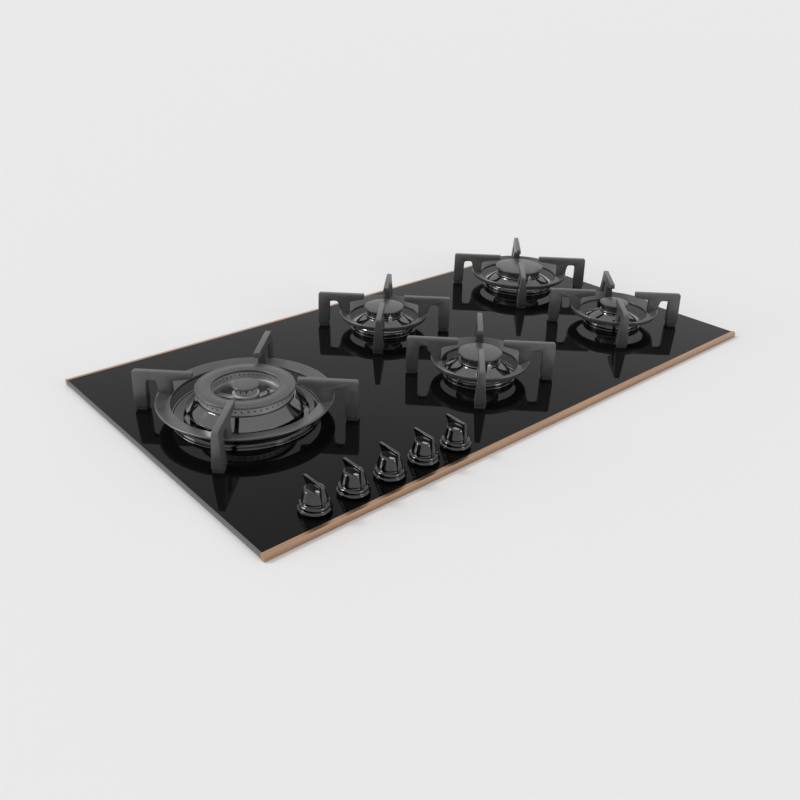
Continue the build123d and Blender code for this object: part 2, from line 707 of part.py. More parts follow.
# ---------------------------------------------------------------- the wok burner
def make_wok_bowl():
    """Wide polished drip bowl, dished inside a rolled rim."""
    x, y = PLACES["wok"]
    return turned(x, y, [
        (WOK_BOWL_BORE_R, 0), (WOK_BOWL_R, 0), (WOK_BOWL_R, 1.8), (WOK_BOWL_R - 2.0, 2.6),
        (WOK_BOWL_R - 2.4, WOK_BOWL_HEIGHT - 1.0), (WOK_BOWL_R - 4.0, WOK_BOWL_HEIGHT),
        (WOK_BOWL_R - 6.0, WOK_BOWL_HEIGHT - 0.6), (WOK_BOWL_R - 12.0, BOWL_SHEET + 0.6),
        (WOK_BOWL_R - 14.0, BOWL_SHEET), (WOK_BOWL_BORE_R, BOWL_SHEET),
    ])


def make_wok_base():
    """Wok casting: centre barrel, dished floor, gas spokes and an outer ring with its skirt."""
    x, y = PLACES["wok"]
    axis = Axis((x, y, 0), (0, 0, 1))
    top = WOK_CROWN_FLOOR
    floor_top = -CUP_DEPTH + CUP_FLOOR
    foot_top = BOWL_SHEET + FOOT_FLANGE
    low = WOK_SKIRT_LOW - SKIRT_SHEET
    spigot_r = WOK_INNER_CROWN_R - CROWN_WALL + SPIGOT_GAP
    inner_r = CUP_R - CUP_WALL
    ring = turned(x, y, [
        (WOK_CHANNEL_R, WOK_DISH_LEVEL), (WOK_CROWN_BORE_R - 2.0, top), (WOK_CROWN_R + 2.4, top),
        (WOK_CROWN_R + 3.0, top - 0.8), (WOK_SKIRT_R, WOK_SKIRT_LOW), (WOK_SKIRT_R, low),
        (WOK_SKIRT_R - 2.4, low), (WOK_CROWN_R + 1.0, top - 4.0),
        (WOK_CROWN_R - 2.0, WOK_DISH_LEVEL - 4.0), (WOK_CROWN_R - 2.0, foot_top),
        (WOK_FLANGE_R, foot_top), (WOK_FLANGE_R, BOWL_SHEET), (WOK_CHANNEL_R + 6.0, BOWL_SHEET),
        (WOK_CHANNEL_R, WOK_DISH_LEVEL - 12.0),
    ])
    barrel = turned(x, y, [
        (INJECTOR_R, -CUP_DEPTH), (CUP_R, -CUP_DEPTH), (CUP_R, 6.0), (WOK_BARREL_R, 8.0),
        (WOK_BARREL_R, WOK_INNER_SEAT), (spigot_r, WOK_INNER_SEAT),
        (spigot_r, WOK_INNER_SEAT - SPIGOT_LENGTH), (THROAT_R, WOK_INNER_SEAT - SPIGOT_LENGTH - 2.0),
        (THROAT_R, 2.0), (inner_r, -4.0), (inner_r, floor_top), (INJECTOR_R, floor_top),
    ])
    dish = turned(x, y, [
        (WOK_BARREL_R - 1.0, BOWL_SHEET), (WOK_CHANNEL_R + 8.0, BOWL_SHEET),
        (WOK_CHANNEL_R + 4.0, BOWL_SHEET + 6.0), (WOK_CHANNEL_R - 4.0, foot_top),
        (WOK_BARREL_R + 3.0, foot_top), (WOK_BARREL_R - 1.0, BOWL_SHEET + 6.0),
    ])
    with BuildPart() as base:
        add(ring)
        # annular groove that feeds the outer flame ring
        with BuildSketch(upright(x, y)):
            with BuildLine():
                Polyline(
                    (WOK_CROWN_BORE_R + 3.0, top), (WOK_CROWN_R - 3.0, top),
                    (WOK_CROWN_R - 5.0, WOK_DISH_LEVEL - 6.0),
                    (WOK_CROWN_BORE_R + 3.0, WOK_DISH_LEVEL - 6.0), close=True,
                )
            make_face()
        revolve(axis=axis, mode=Mode.SUBTRACT)
        add(barrel)
        add(dish)
        # spokes carry gas from the barrel to the outer ring
        for i in range(WOK_SPOKES):
            with BuildSketch(upright(x, y, i * 360.0 / WOK_SPOKES)):
                with BuildLine():
                    Polyline(
                        (WOK_BARREL_R - 1.0, 6.0), (WOK_CHANNEL_R + 3.0, 8.5),
                        (WOK_CHANNEL_R + 3.0, WOK_DISH_LEVEL - 0.5),
                        (WOK_BARREL_R - 1.0, WOK_DISH_LEVEL + 1.0), close=True,
                    )
                make_face()
            extrude(amount=WOK_SPOKE_WIDTH / 2, both=True)
        add(gas_boss(x, y))
        add(gas_way(x, y), mode=Mode.SUBTRACT)
        # lugs that hold the electrode and the flame probe beside the barrel
        for angle in (WOK_PROBE_ANGLE, WOK_THERMO_ANGLE):
            with BuildSketch(upright(x, y, angle)):
                with BuildLine():
                    Polyline(
                        (WOK_BARREL_R - 1.0, 8.0), (WOK_CHANNEL_R + 3.0, 9.0),
                        (WOK_CHANNEL_R + 3.0, 12.0), (WOK_BARREL_R - 1.0, 12.0), close=True,
                    )
                make_face()
            extrude(amount=WOK_SPOKE_WIDTH / 2, both=True)
        add(probe_holes("wok"), mode=Mode.SUBTRACT)
    keep(base.part, "wok_base")


def make_wok_crown():
    """Ring-shaped flame spreader with ports through both of its walls."""
    x, y = PLACES["wok"]
    low = WOK_CROWN_FLOOR
    top = WOK_CROWN_TOP
    outer_r = WOK_CROWN_R
    bore_r = WOK_CROWN_BORE_R
    wall = WOK_CROWN_WALL
    body = turned(x, y, [
        (bore_r, low), (outer_r - 0.9, low), (outer_r - 0.9, low + 0.9), (outer_r, low + 1.3),
        (outer_r, top), (outer_r - wall, top), (outer_r - wall, low + 2.4), (bore_r + wall, low + 2.4),
        (bore_r + wall, top), (bore_r, top),
    ])
    port_z = GLASS_TOP + WOK_PORT_HEIGHT
    with BuildPart() as crown:
        add(body)
        # gas comes in through the floor, over the groove of the casting
        with BuildSketch(level(GLASS_TOP + low)):
            with Locations((x, y)):
                with PolarLocations((outer_r + bore_r) / 2, WOK_CROWN_INTAKES):
                    Circle(WOK_CROWN_INTAKE_R)
        extrude(amount=2.4, mode=Mode.SUBTRACT)
        for i in range(WOK_PORT_COUNT):
            angle = radians(360.0 * i / WOK_PORT_COUNT)
            out = Vector(cos(angle), sin(angle), 0)
            start = Vector(x, y, port_z) + out * (bore_r - 0.6)
            with BuildSketch(Plane(origin=start, x_dir=(0, 0, 1), z_dir=out)):
                RegularPolygon(WOK_PORT_R, 6)
            extrude(amount=outer_r - bore_r + 1.2, mode=Mode.SUBTRACT)
    keep(crown.part, "wok_crown")


def make_wok_cap():
    """Ring-shaped lid: its plinth rests on the crown's walls, and a rib centres it."""
    x, y = PLACES["wok"]
    low = WOK_CAP_TOP - WOK_CAP_THICKNESS
    plinth_in = WOK_CROWN_BORE_R + 0.8
    plinth_out = WOK_CROWN_R - 0.8
    rib_r = WOK_CROWN_BORE_R + WOK_CROWN_WALL + CAP_GAP
    with BuildPart() as cap:
        with BuildSketch(upright(x, y)) as section:
            with BuildLine():
                Polyline(
                    (WOK_CAP_BORE_R, low), (plinth_in, low), (plinth_in, WOK_CROWN_TOP),
                    (rib_r, WOK_CROWN_TOP), (rib_r, WOK_CROWN_TOP - CAP_SKIRT_DEPTH / 2),
                    (rib_r + CAP_SKIRT_WALL, WOK_CROWN_TOP - CAP_SKIRT_DEPTH / 2),
                    (rib_r + CAP_SKIRT_WALL, WOK_CROWN_TOP), (plinth_out, WOK_CROWN_TOP),
                    (plinth_out, low), (WOK_CAP_R - 0.5, low), (WOK_CAP_R, low + 0.5),
                    (WOK_CAP_R, WOK_CAP_TOP), (WOK_CAP_BORE_R, WOK_CAP_TOP), close=True,
                )
            make_face()
            fillet(section.vertices().group_by(Axis.Y)[-1], WOK_CAP_EDGE_R)
        revolve(axis=Axis((x, y, 0), (0, 0, 1)))
    keep(cap.part, "wok_outer_cap")


def make_wok_middle():
    """Small spreader and lid in the middle of the wok burner."""
    x, y = PLACES["wok"]
    seat = WOK_INNER_SEAT
    top = WOK_INNER_CROWN_TOP
    inner_r = WOK_INNER_CROWN_R - CROWN_WALL
    body = turned(x, y, [
        (inner_r - SPIGOT_WALL, seat - 4.0), (inner_r, seat - 4.0), (inner_r, seat),
        (WOK_BARREL_R, seat), (WOK_BARREL_R, seat + 1.6), (WOK_INNER_CROWN_R - 0.5, seat + 2.0),
        (WOK_INNER_CROWN_R - 0.5, seat + 2.8), (WOK_INNER_CROWN_R, seat + 3.1),
        (WOK_INNER_CROWN_R, top), (inner_r, top),
        (inner_r, seat + CROWN_FLOOR), (inner_r - SPIGOT_WALL, seat + CROWN_FLOOR),
    ])
    with BuildPart() as crown:
        add(body)
        with BuildSketch(level(GLASS_TOP + top)):
            with Locations((x, y)):
                with PolarLocations(WOK_INNER_CROWN_R - CROWN_WALL / 2, WOK_INNER_PORTS):
                    Rectangle(2 * CROWN_WALL, PORT_WIDTH)
        extrude(amount=-PORT_DEPTH, mode=Mode.SUBTRACT)
    keep(crown.part, "wok_inner_crown")

    skirt_r = inner_r - CAP_GAP
    cap = turned(x, y, [
        (0, top), (skirt_r - CAP_SKIRT_WALL, top), (skirt_r - CAP_SKIRT_WALL, top - CAP_SKIRT_DEPTH),
        (skirt_r, top - CAP_SKIRT_DEPTH), (skirt_r, top), (WOK_INNER_CAP_R - 0.8, top),
        (WOK_INNER_CAP_R, top + 0.8), (WOK_INNER_CAP_R, top + 2.2), (WOK_INNER_CAP_R - 1.0, top + 3.2),
        (0, top + 3.6),
    ])
    keep(cap, "wok_inner_cap")


# ---------------------------------------------------------------- pan supports
# name: (arm, tip, ring, ring bore, inner height, rim height, wall height, leg, top width, foot width)
SUPPORT_SMALL = (
    SMALL_ARM_R, SMALL_TIP_R, SMALL_RING_R, SMALL_RING_BORE_R, RING_INNER_HEIGHT,
    RING_RIM_HEIGHT, RING_WALL_HEIGHT, LEG_WIDTH, ARM_TOP_WIDTH, FOOT_WIDTH,
)
SUPPORT_RAPID = (
    RAPID_ARM_R, RAPID_TIP_R, RAPID_RING_R, RAPID_RING_BORE_R, RING_INNER_HEIGHT,
    RING_RIM_HEIGHT, RING_WALL_HEIGHT, LEG_WIDTH, ARM_TOP_WIDTH, FOOT_WIDTH,
)
SUPPORT_WOK = (
    WOK_ARM_R, WOK_TIP_R, WOK_RING_R, WOK_RING_BORE_R, WOK_RING_INNER_HEIGHT,
    WOK_RING_RIM_HEIGHT, WOK_RING_WALL_HEIGHT, LEG_WIDTH, WOK_ARM_TOP_WIDTH, WOK_FOOT_WIDTH,
)
SUPPORTS = {
    "wok": SUPPORT_WOK,
    "mid_rear": SUPPORT_SMALL,
    "mid_front": SUPPORT_SMALL,
    "right_rear": SUPPORT_RAPID,
    "right_front": SUPPORT_SMALL,
}


def make_arm(x, y, angle, spec):
    """One upright fin of a pan support: bar on top, foot leg, slot and ring leg."""
    arm_r, tip_r, ring_r, bore_r, inner_h, rim_h, wall_h, leg, top_width, foot_width = spec
    slot_out = arm_r - leg
    slot_in = slot_out - SLOT_WIDTH
    root_r = bore_r + 0.8
    with BuildPart() as arm:
        with BuildSketch(upright(x, y, angle)) as side:
            with BuildLine():
                Polyline(
                    (tip_r, SUPPORT_HEIGHT), (arm_r, SUPPORT_HEIGHT), (arm_r + 0.8, PAD_HEIGHT),
                    (slot_out + 1.0, PAD_HEIGHT), (slot_out, SLOT_TOP), (slot_in, SLOT_TOP),
                    (ring_r - 1.6, rim_h - 3.0), (ring_r - 6.0, inner_h - 1.0),
                    (bore_r + 0.6, inner_h - 2.5), (root_r, SUPPORT_HEIGHT - ARM_ROOT_DEPTH),
                    (tip_r, SUPPORT_HEIGHT - ARM_TIP_DEPTH), close=True,
                )
            make_face()
            fillet([v for v in side.vertices() if abs(v.Y - SLOT_TOP) < 1e-6], SLOT_R)
            fillet([v for v in side.vertices() if abs(v.X - root_r) < 1e-6], ARM_ROOT_R)
            fillet(side.vertices().group_by(Axis.Y)[-1].sort_by(Axis.X)[-1], ARM_CORNER_R)
        extrude(amount=foot_width / 2, both=True)
        a = radians(angle)
        across = Plane(origin=(x, y, GLASS_TOP), x_dir=(-sin(a), cos(a), 0), z_dir=(cos(a), sin(a), 0))
        with BuildSketch(across) as section:
            with BuildLine():
                Polyline(
                    (-foot_width / 2, PAD_HEIGHT), (foot_width / 2, PAD_HEIGHT),
                    (top_width / 2, SUPPORT_HEIGHT), (-top_width / 2, SUPPORT_HEIGHT), close=True,
                )
            make_face()
            fillet(section.vertices().group_by(Axis.Y)[-1], ARM_EDGE_R)
        extrude(amount=arm_r + 2.0, mode=Mode.INTERSECT)
    return arm.part


def make_support(name):
    x, y = PLACES[name]
    spec = SUPPORTS[name]
    arm_r, tip_r, ring_r, bore_r, inner_h, rim_h, wall_h, leg, top_width, foot_width = spec
    angles = [ARM_START_ANGLE + i * 360.0 / ARM_COUNT for i in range(ARM_COUNT)]
    arms = [make_arm(x, y, angle, spec) for angle in angles]
    tenons = pad_tenons(x, y, spec, angles)
    with BuildPart() as support:
        with BuildSketch(upright(x, y)):
            with BuildLine():
                Polyline(
                    (bore_r, inner_h), (ring_r - 2.0, rim_h), (ring_r - 0.6, rim_h - 0.4),
                    (ring_r, rim_h - 1.8), (ring_r - 2.4, rim_h - wall_h),
                    (ring_r - 3.8, rim_h - wall_h - 0.6), (bore_r + 1.5, inner_h - RING_THICKNESS),
                    (bore_r, inner_h - RING_THICKNESS + 1.0), close=True,
                )
            make_face()
        revolve(axis=Axis((x, y, 0), (0, 0, 1)))
        for arm in arms:
            add(arm)
        add(tenons, mode=Mode.SUBTRACT)
    keep(support.part, f"pan_support_{name}")

    with BuildPart() as pads:
        for angle in angles:
            with BuildSketch(pad_plane(x, y, angle, arm_r, leg, 0.0)) as foot:
                Rectangle(leg - 1.0 - 2 * PAD_INSET, foot_width - 2 * PAD_INSET)
                fillet(foot.vertices(), 2.0)
            extrude(amount=PAD_HEIGHT)
        add(tenons)
    keep(pads.part, f"support_pads_{name}")


def pad_plane(x, y, angle, arm_r, leg, height):
    a = radians(angle)
    reach = arm_r - leg / 2 + 0.9
    return Plane(
        origin=(x + reach * cos(a), y + reach * sin(a), GLASS_TOP + height),
        x_dir=(cos(a), sin(a), 0), z_dir=(0, 0, 1),
    )


def pad_tenons(x, y, spec, angles):
    """Tenons of the rubber pads; the feet have sockets of the same shape."""
    with BuildPart() as tenons:
        for angle in angles:
            with BuildSketch(pad_plane(x, y, angle, spec[0], spec[7], PAD_HEIGHT)):
                Rectangle(PAD_TENON_LENGTH, PAD_TENON_WIDTH)
            extrude(amount=PAD_TENON_HEIGHT)
    return tenons.part


# ---------------------------------------------------------------- knobs and taps
def d_profile(radius):
    """Round spindle section with one flat, at the origin of the current sketch."""
    Circle(radius)
    with Locations((0, radius)):
        Rectangle(2 * radius, 2 * (radius - SPINDLE_FLAT), mode=Mode.SUBTRACT)


def make_knob(index, x):
    low = GLASS_TOP + KNOB_LIFT
    rim_top = KNOB_LIFT + KNOB_RIM_HEIGHT
    with BuildPart() as knob:
        with BuildSketch(Plane(origin=(x, KNOB_Y, GLASS_TOP), x_dir=(1, 0, 0), z_dir=(0, -1, 0))):
            with BuildLine():
                Polyline(
                    (0, KNOB_LIFT), (KNOB_R - 0.7, KNOB_LIFT), (KNOB_R, KNOB_LIFT + 0.7), (KNOB_R, rim_top),
                    (KNOB_RING_R, rim_top + 1.0), (KNOB_RING_R, KNOB_RING_TOP - 1.0),
                    (KNOB_RING_R - 1.0, KNOB_RING_TOP), (KNOB_GROOVE_R, KNOB_RING_TOP + 0.6),
                    (KNOB_GROOVE_R, KNOB_CONE_FOOT - 0.7), (KNOB_CONE_R, KNOB_CONE_FOOT),
                    (KNOB_NECK_R, KNOB_NECK_HEIGHT - 0.6), (KNOB_NECK_R - 0.6, KNOB_NECK_HEIGHT),
                    (0, KNOB_NECK_HEIGHT), close=True,
                )
            make_face()
        revolve(axis=Axis((x, KNOB_Y, 0), (0, 0, 1)))
        # upright blade that points to the setting: a rib down the front, an overhang at the back
        with BuildSketch(Plane(origin=(x, KNOB_Y, GLASS_TOP), x_dir=(0, 1, 0), z_dir=(1, 0, 0))) as blade:
            with BuildLine():
                Polyline(
                    (-BLADE_FRONT, KNOB_TOP), (1.0 - KNOB_RING_R, KNOB_RING_TOP - 0.5),
                    (1.0 - KNOB_GROOVE_R, KNOB_RING_TOP - 0.5), (2.0 - KNOB_NECK_R, KNOB_NECK_HEIGHT - 4.0),
                    (KNOB_NECK_R - 2.0, KNOB_NECK_HEIGHT - 4.0), (BLADE_FOOT_BACK, KNOB_NECK_HEIGHT - 1.0),
                    (BLADE_BACK, KNOB_TOP), close=True,
                )
            make_face()
            fillet(blade.vertices().group_by(Axis.Y)[-1], BLADE_EDGE_R)
        extrude(amount=BLADE_WIDTH / 2, both=True)
        # D-shaped socket for the spindle, open below
        with BuildSketch(Plane(origin=(x, KNOB_Y, low))):
            d_profile(SPINDLE_R)
        extrude(amount=SPINDLE_TOP - KNOB_LIFT, mode=Mode.SUBTRACT)
    keep(knob.part, f"knob_{index}")

    with BuildPart() as spindle:
        with BuildSketch(Plane(origin=(x, KNOB_Y, SPINDLE_BOTTOM))):
            Rectangle(SPINDLE_SQUARE, SPINDLE_SQUARE)
        extrude(amount=PLUG_TOP + PRESS_TRAVEL + 1.0 - SPINDLE_BOTTOM)
        with BuildSketch(Plane(origin=(x, KNOB_Y, PLUG_TOP + PRESS_TRAVEL + 1.0))):
            Circle(SPINDLE_R)
        extrude(amount=low - PLUG_TOP - PRESS_TRAVEL - 1.0)
        with BuildSketch(Plane(origin=(x, KNOB_Y, low))):
            d_profile(SPINDLE_R)
        extrude(amount=SPINDLE_TOP - KNOB_LIFT)
    keep(spindle.part, f"spindle_{index}")

    with BuildPart() as plug:
        with BuildSketch(Plane(origin=(x, KNOB_Y, PLUG_BOTTOM))):
            Circle(PLUG_R)
        extrude(amount=PLUG_TOP - PLUG_BOTTOM)
        with BuildSketch(Plane(origin=(x, KNOB_Y, PLUG_TOP))):
            Rectangle(SPINDLE_SQUARE + 2 * SOCKET_GAP, SPINDLE_SQUARE + 2 * SOCKET_GAP)
        extrude(amount=-PLUG_SOCKET_DEPTH, mode=Mode.SUBTRACT)
        # gas pocket in the plug's side, which joins inlet and outlet when it faces the rear
        with BuildSketch(Plane(origin=(x + PLUG_R, KNOB_Y, RAIL_Z - PIPE_BORE_R))):
            Rectangle(2 * PLUG_POCKET, 2 * PIPE_BORE_R)
        extrude(amount=PIPE_Z - RAIL_Z + 2 * PIPE_BORE_R, mode=Mode.SUBTRACT)
    keep(plug.part, f"tap_plug_{index}")


def make_taps():
    front = KNOB_Y - TAP_FRONT
    rear = KNOB_Y + TAP_REAR
    clamp_half = RAIL_R + CLAMP_WALL
    with BuildPart() as taps:
        for x in KNOB_XS:
            with BuildSketch(Plane(origin=(x, (front + rear) / 2, TRAY_FLOOR))) as block:
                Rectangle(TAP_WIDTH, rear - front)
                fillet(block.vertices(), 3.0)
            extrude(amount=TAP_TOP - TRAY_FLOOR)
            with BuildSketch(Plane(origin=(x, KNOB_Y, TAP_TOP))):
                Circle(TAP_NECK_R)
            extrude(amount=TAP_NECK_TOP - TAP_TOP)
            # clamp around the gas rail, and the outlet above it
            with BuildSketch(Plane(origin=(x, 0, 0), x_dir=(0, 1, 0), z_dir=(1, 0, 0))):
                with Locations(((rear + RAIL_Y + clamp_half) / 2, RAIL_Z)):
                    Rectangle(RAIL_Y + clamp_half - rear, 2 * (RAIL_R + 1.5))
            extrude(amount=TAP_WIDTH / 2 - 3.0, both=True)
            with BuildSketch(facing_back(x, rear, PIPE_Z)):
                Circle(OUTLET_R)
            extrude(amount=OUTLET_LENGTH)
        with BuildSketch(Plane(origin=(0, RAIL_Y, RAIL_Z), x_dir=(0, 1, 0), z_dir=(1, 0, 0))):
            Circle(RAIL_R)
        extrude(amount=OVERALL_LENGTH / 2, both=True, mode=Mode.SUBTRACT)
        for x in KNOB_XS:
            with BuildSketch(Plane(origin=(x, KNOB_Y, PLUG_BOTTOM - RUNNING_GAP))):
                Circle(PLUG_R + RUNNING_GAP)
            extrude(amount=PLUG_TOP + 1.0 - PLUG_BOTTOM, mode=Mode.SUBTRACT)
            with BuildSketch(Plane(origin=(x, KNOB_Y, PLUG_TOP))):
                Circle(SPINDLE_R + RUNNING_GAP)
            extrude(amount=TAP_NECK_TOP - PLUG_TOP + 1.0, mode=Mode.SUBTRACT)
            with BuildSketch(facing_back(x, rear + OUTLET_LENGTH, PIPE_Z)):
                Circle(PIPE_R)
            extrude(amount=-PIPE_SEAT, mode=Mode.SUBTRACT)
            with BuildSketch(facing_back(x, rear + OUTLET_LENGTH, PIPE_Z)):
                Circle(PIPE_BORE_R)
            extrude(amount=-TAP_REAR - OUTLET_LENGTH + PLUG_R, mode=Mode.SUBTRACT)
            with BuildSketch(facing_back(x, KNOB_Y, RAIL_Z)):
                Circle(PIPE_BORE_R)
            extrude(amount=RAIL_Y - KNOB_Y, mode=Mode.SUBTRACT)
    keep(taps.part, "tap_bodies")


def tube_along(points, radius, bore_r, bend_r):
    """Round tube on straight runs joined by tangent bends; a zero bore makes it solid."""
    with BuildPart() as tube:
        with BuildLine() as path:
            FilletPolyline(*points, radius=bend_r)
        start = path.line @ 0
        heading = path.line % 0
        with BuildSketch(Plane(origin=start, z_dir=heading)):
            Circle(radius)
            if bore_r > 0:
                Circle(bore_r, mode=Mode.SUBTRACT)
        sweep(path=path.line)
    return tube.part


def make_gas_line():
    turn_x = inlet_x()
    socket_y = NOTCH_Y - TRAY_SHEET - INLET_COLLAR_LENGTH + INLET_SOCKET_DEPTH
    rail_start = KNOB_XS[0] - TAP_WIDTH / 2 - 6.0
    with BuildPart() as rail:
        add(tube_along(
            [(rail_start, RAIL_Y, RAIL_Z), (turn_x, RAIL_Y, RAIL_Z), (turn_x, socket_y, RAIL_Z)],
            RAIL_R, RAIL_BORE_R, RAIL_BEND_R,
        ))
        # plugged end beside the first tap
        with BuildSketch(Plane(origin=(rail_start, RAIL_Y, RAIL_Z), x_dir=(0, 1, 0), z_dir=(-1, 0, 0))):
            Circle(RAIL_R)
        extrude(amount=2.0)
    keep(rail.part, "gas_rail")

    # collar inside the tray wall, a neck through it and the threaded end outside
    inner_face = (turn_x, NOTCH_Y - TRAY_SHEET, RAIL_Z)
    collar_end = (turn_x, NOTCH_Y - TRAY_SHEET - INLET_COLLAR_LENGTH, RAIL_Z)
    neck = TRAY_SHEET + INLET_RELIEF
    thread_start = (turn_x, NOTCH_Y + INLET_RELIEF, RAIL_Z)
    outwards = (0, 1, 0)
    with BuildPart() as inlet:
        with BuildSketch(facing_back(*collar_end)):
            RegularPolygon(INLET_COLLAR_R, 6, major_radius=False)
        extrude(amount=INLET_COLLAR_LENGTH)
        add(rod(inner_face, outwards, INLET_NECK_R, neck))
        add(rod(thread_start, outwards, INLET_THREAD_R, INLET_THREAD_LENGTH))
        add(rod(collar_end, outwards, RAIL_R, INLET_SOCKET_DEPTH), mode=Mode.SUBTRACT)
        bore_length = INLET_COLLAR_LENGTH + neck + INLET_THREAD_LENGTH
        add(rod(collar_end, outwards, RAIL_BORE_R, bore_length), mode=Mode.SUBTRACT)
    keep(inlet.part, "gas_inlet")


def supply_route(index):
    """Plan of one supply pipe, from its tap's outlet to its burner's side boss."""
    x0 = KNOB_XS[index]
    y0 = KNOB_Y + TAP_REAR + OUTLET_LENGTH - PIPE_SEAT
    x1, burner_y = PLACES[TAP_FEEDS[index]]
    y1 = burner_y - CUP_R - BOSS_LENGTH + PIPE_SEAT
    lane = KNOB_Y + LANES_FROM_KNOBS + LANE_PITCH * (KNOB_COUNT - 1 - index)
    if TAP_FEEDS[index] == "mid_rear":
        bypass = (WOK_X + MID_FRONT_X) / 2 + 60.0
    elif TAP_FEEDS[index] == "right_rear":
        bypass = (MID_FRONT_X + RIGHT_FRONT_X) / 2 + 84.0
    else:
        bypass = None
    points = [(x0, y0), (x0, lane)]
    if bypass is None:
        points += [(x1, lane)]
    else:
        points += [(bypass, lane), (bypass, y1 - 26.0), (x1, y1 - 26.0)]
    points += [(x1, y1)]
    return [(px, py, PIPE_Z) for px, py in points]


def make_supply():
    with BuildPart() as pipes:
        for index in range(KNOB_COUNT):
            add(tube_along(supply_route(index), PIPE_R, PIPE_BORE_R, PIPE_BEND_R))
    keep(pipes.part, "supply_pipes")

    seat = GLASS_TOP - CUP_DEPTH + CUP_FLOOR
    with BuildPart() as jets:
        with BuildSketch(level(seat)):
            for x, y in PLACES.values():
                with Locations((x, y)):
                    RegularPolygon(INJECTOR_HEX / 2, 6, major_radius=False)
        extrude(amount=INJECTOR_HEX_HEIGHT)
        with BuildSketch(level(seat)):
            for x, y in PLACES.values():
                with Locations((x, y)):
                    Circle(INJECTOR_R)
        extrude(amount=-CUP_FLOOR / 2 + PIPE_BORE_R + 0.3)
        with BuildSketch(level(seat - INJECTOR_LENGTH)):
            for x, y in PLACES.values():
                with Locations((x, y)):
                    Circle(INJECTOR_BORE_R)
        extrude(amount=INJECTOR_LENGTH + INJECTOR_HEX_HEIGHT, mode=Mode.SUBTRACT)
    keep(jets.part, "injectors")


# ---------------------------------------------------------------- ignition, sensing and mains
def make_ignition():
    with BuildPart() as electrodes:
        for name in PLACES:
            px, py = probe_points(name)[0]
            top = WOK_PROBE_TOP if name == "wok" else PROBE_TOP
            tip_top = top + PROBE_TIP_HEIGHT
            add(turned(px, py, [
                (0, PROBE_BOTTOM), (PROBE_R, PROBE_BOTTOM), (PROBE_R, top - 1.2), (PROBE_R - 1.2, top),
                (PROBE_TIP_R, top), (PROBE_TIP_R, tip_top), (0, tip_top),
            ]))
    keep(electrodes.part, "spark_electrodes")

    with BuildPart() as sensors:
        for name in PLACES:
            electrode, sensor = probe_points(name)
            with BuildSketch(Plane(origin=(*sensor, GLASS_TOP + PROBE_BOTTOM))):
                Circle(THERMO_R)
            extrude(amount=THERMO_TOP - PROBE_BOTTOM)
            with BuildSketch(Plane(origin=(*sensor, GLASS_TOP + THERMO_TOP))):
                Circle(THERMO_TIP_R)
            extrude(amount=THERMO_TIP_HEIGHT)
    keep(sensors.part, "thermocouples")

    left = SPARK_X - SPARK_LENGTH / 2
    right = SPARK_X + SPARK_LENGTH / 2
    with BuildPart() as generator:
        with BuildSketch(Plane(origin=(SPARK_X, SPARK_Y, TRAY_FLOOR))) as case:
            Rectangle(SPARK_LENGTH, SPARK_WIDTH)
            fillet(case.vertices(), 3.0)
        extrude(amount=SPARK_HEIGHT)
        for side, rows in ((-1, (-1, 0, 1)), (1, (-1, 1))):
            for row in rows:
                start = (SPARK_X + side * SPARK_LENGTH / 2, SPARK_Y + row * SPARK_TERMINAL_PITCH, LEAD_Z)
                with BuildSketch(Plane(origin=start, x_dir=(0, 1, 0), z_dir=(side, 0, 0))):
                    Circle(SPARK_TERMINAL_R)
                extrude(amount=SPARK_TERMINAL_LENGTH)
    keep(generator.part, "spark_generator")

    left_end = left - SPARK_TERMINAL_LENGTH
    right_end = right + SPARK_TERMINAL_LENGTH
    front_row = SPARK_Y - SPARK_TERMINAL_PITCH
    rear_row = SPARK_Y + SPARK_TERMINAL_PITCH
    # each lead's run along the tray floor, from below its electrode to its terminal
    tails = {
        "wok": [("dy", -63.0), ("x", left_end - 34.0), ("y", SPARK_Y), ("x", left_end)],
        "mid_front": [("x", left_end - 18.0), ("y", front_row), ("x", left_end)],
        "mid_rear": [("dy", -46.0), ("x", left_end - 18.0), ("y", rear_row), ("x", left_end)],
        "right_rear": [("dy", -36.0), ("x", right_end + 24.0), ("y", rear_row), ("x", right_end)],
        "right_front": [("x", right_end + 24.0), ("y", front_row), ("x", right_end)],
    }
    with BuildPart() as leads:
        for name, legs in tails.items():
            px, py = probe_points(name)[0]
            points = [(px, py, GLASS_TOP + PROBE_BOTTOM), (px, py, LEAD_Z)]
            for kind, value in legs:
                px = value if kind == "x" else px
                py = value if kind == "y" else py + value if kind == "dy" else py
                points.append((px, py, LEAD_Z))
            add(tube_along(points, LEAD_R, 0, LEAD_BEND_R))
        # feed from the mains terminal to the generator, below the leads
        feed_y = SPARK_Y + SPARK_WIDTH / 2
        box_front = TRAY_HALF_DEPTH - TRAY_SHEET - TRAY_FLOOR_R - MAINS_WIDTH
        feed = [(MAINS_X, box_front), (MAINS_X, FEED_Y), (SPARK_X, FEED_Y), (SPARK_X, feed_y)]
        add(tube_along([(fx, fy, FEED_Z) for fx, fy in feed], FEED_R, 0, LEAD_BEND_R))
    keep(leads.part, "ignition_wiring")


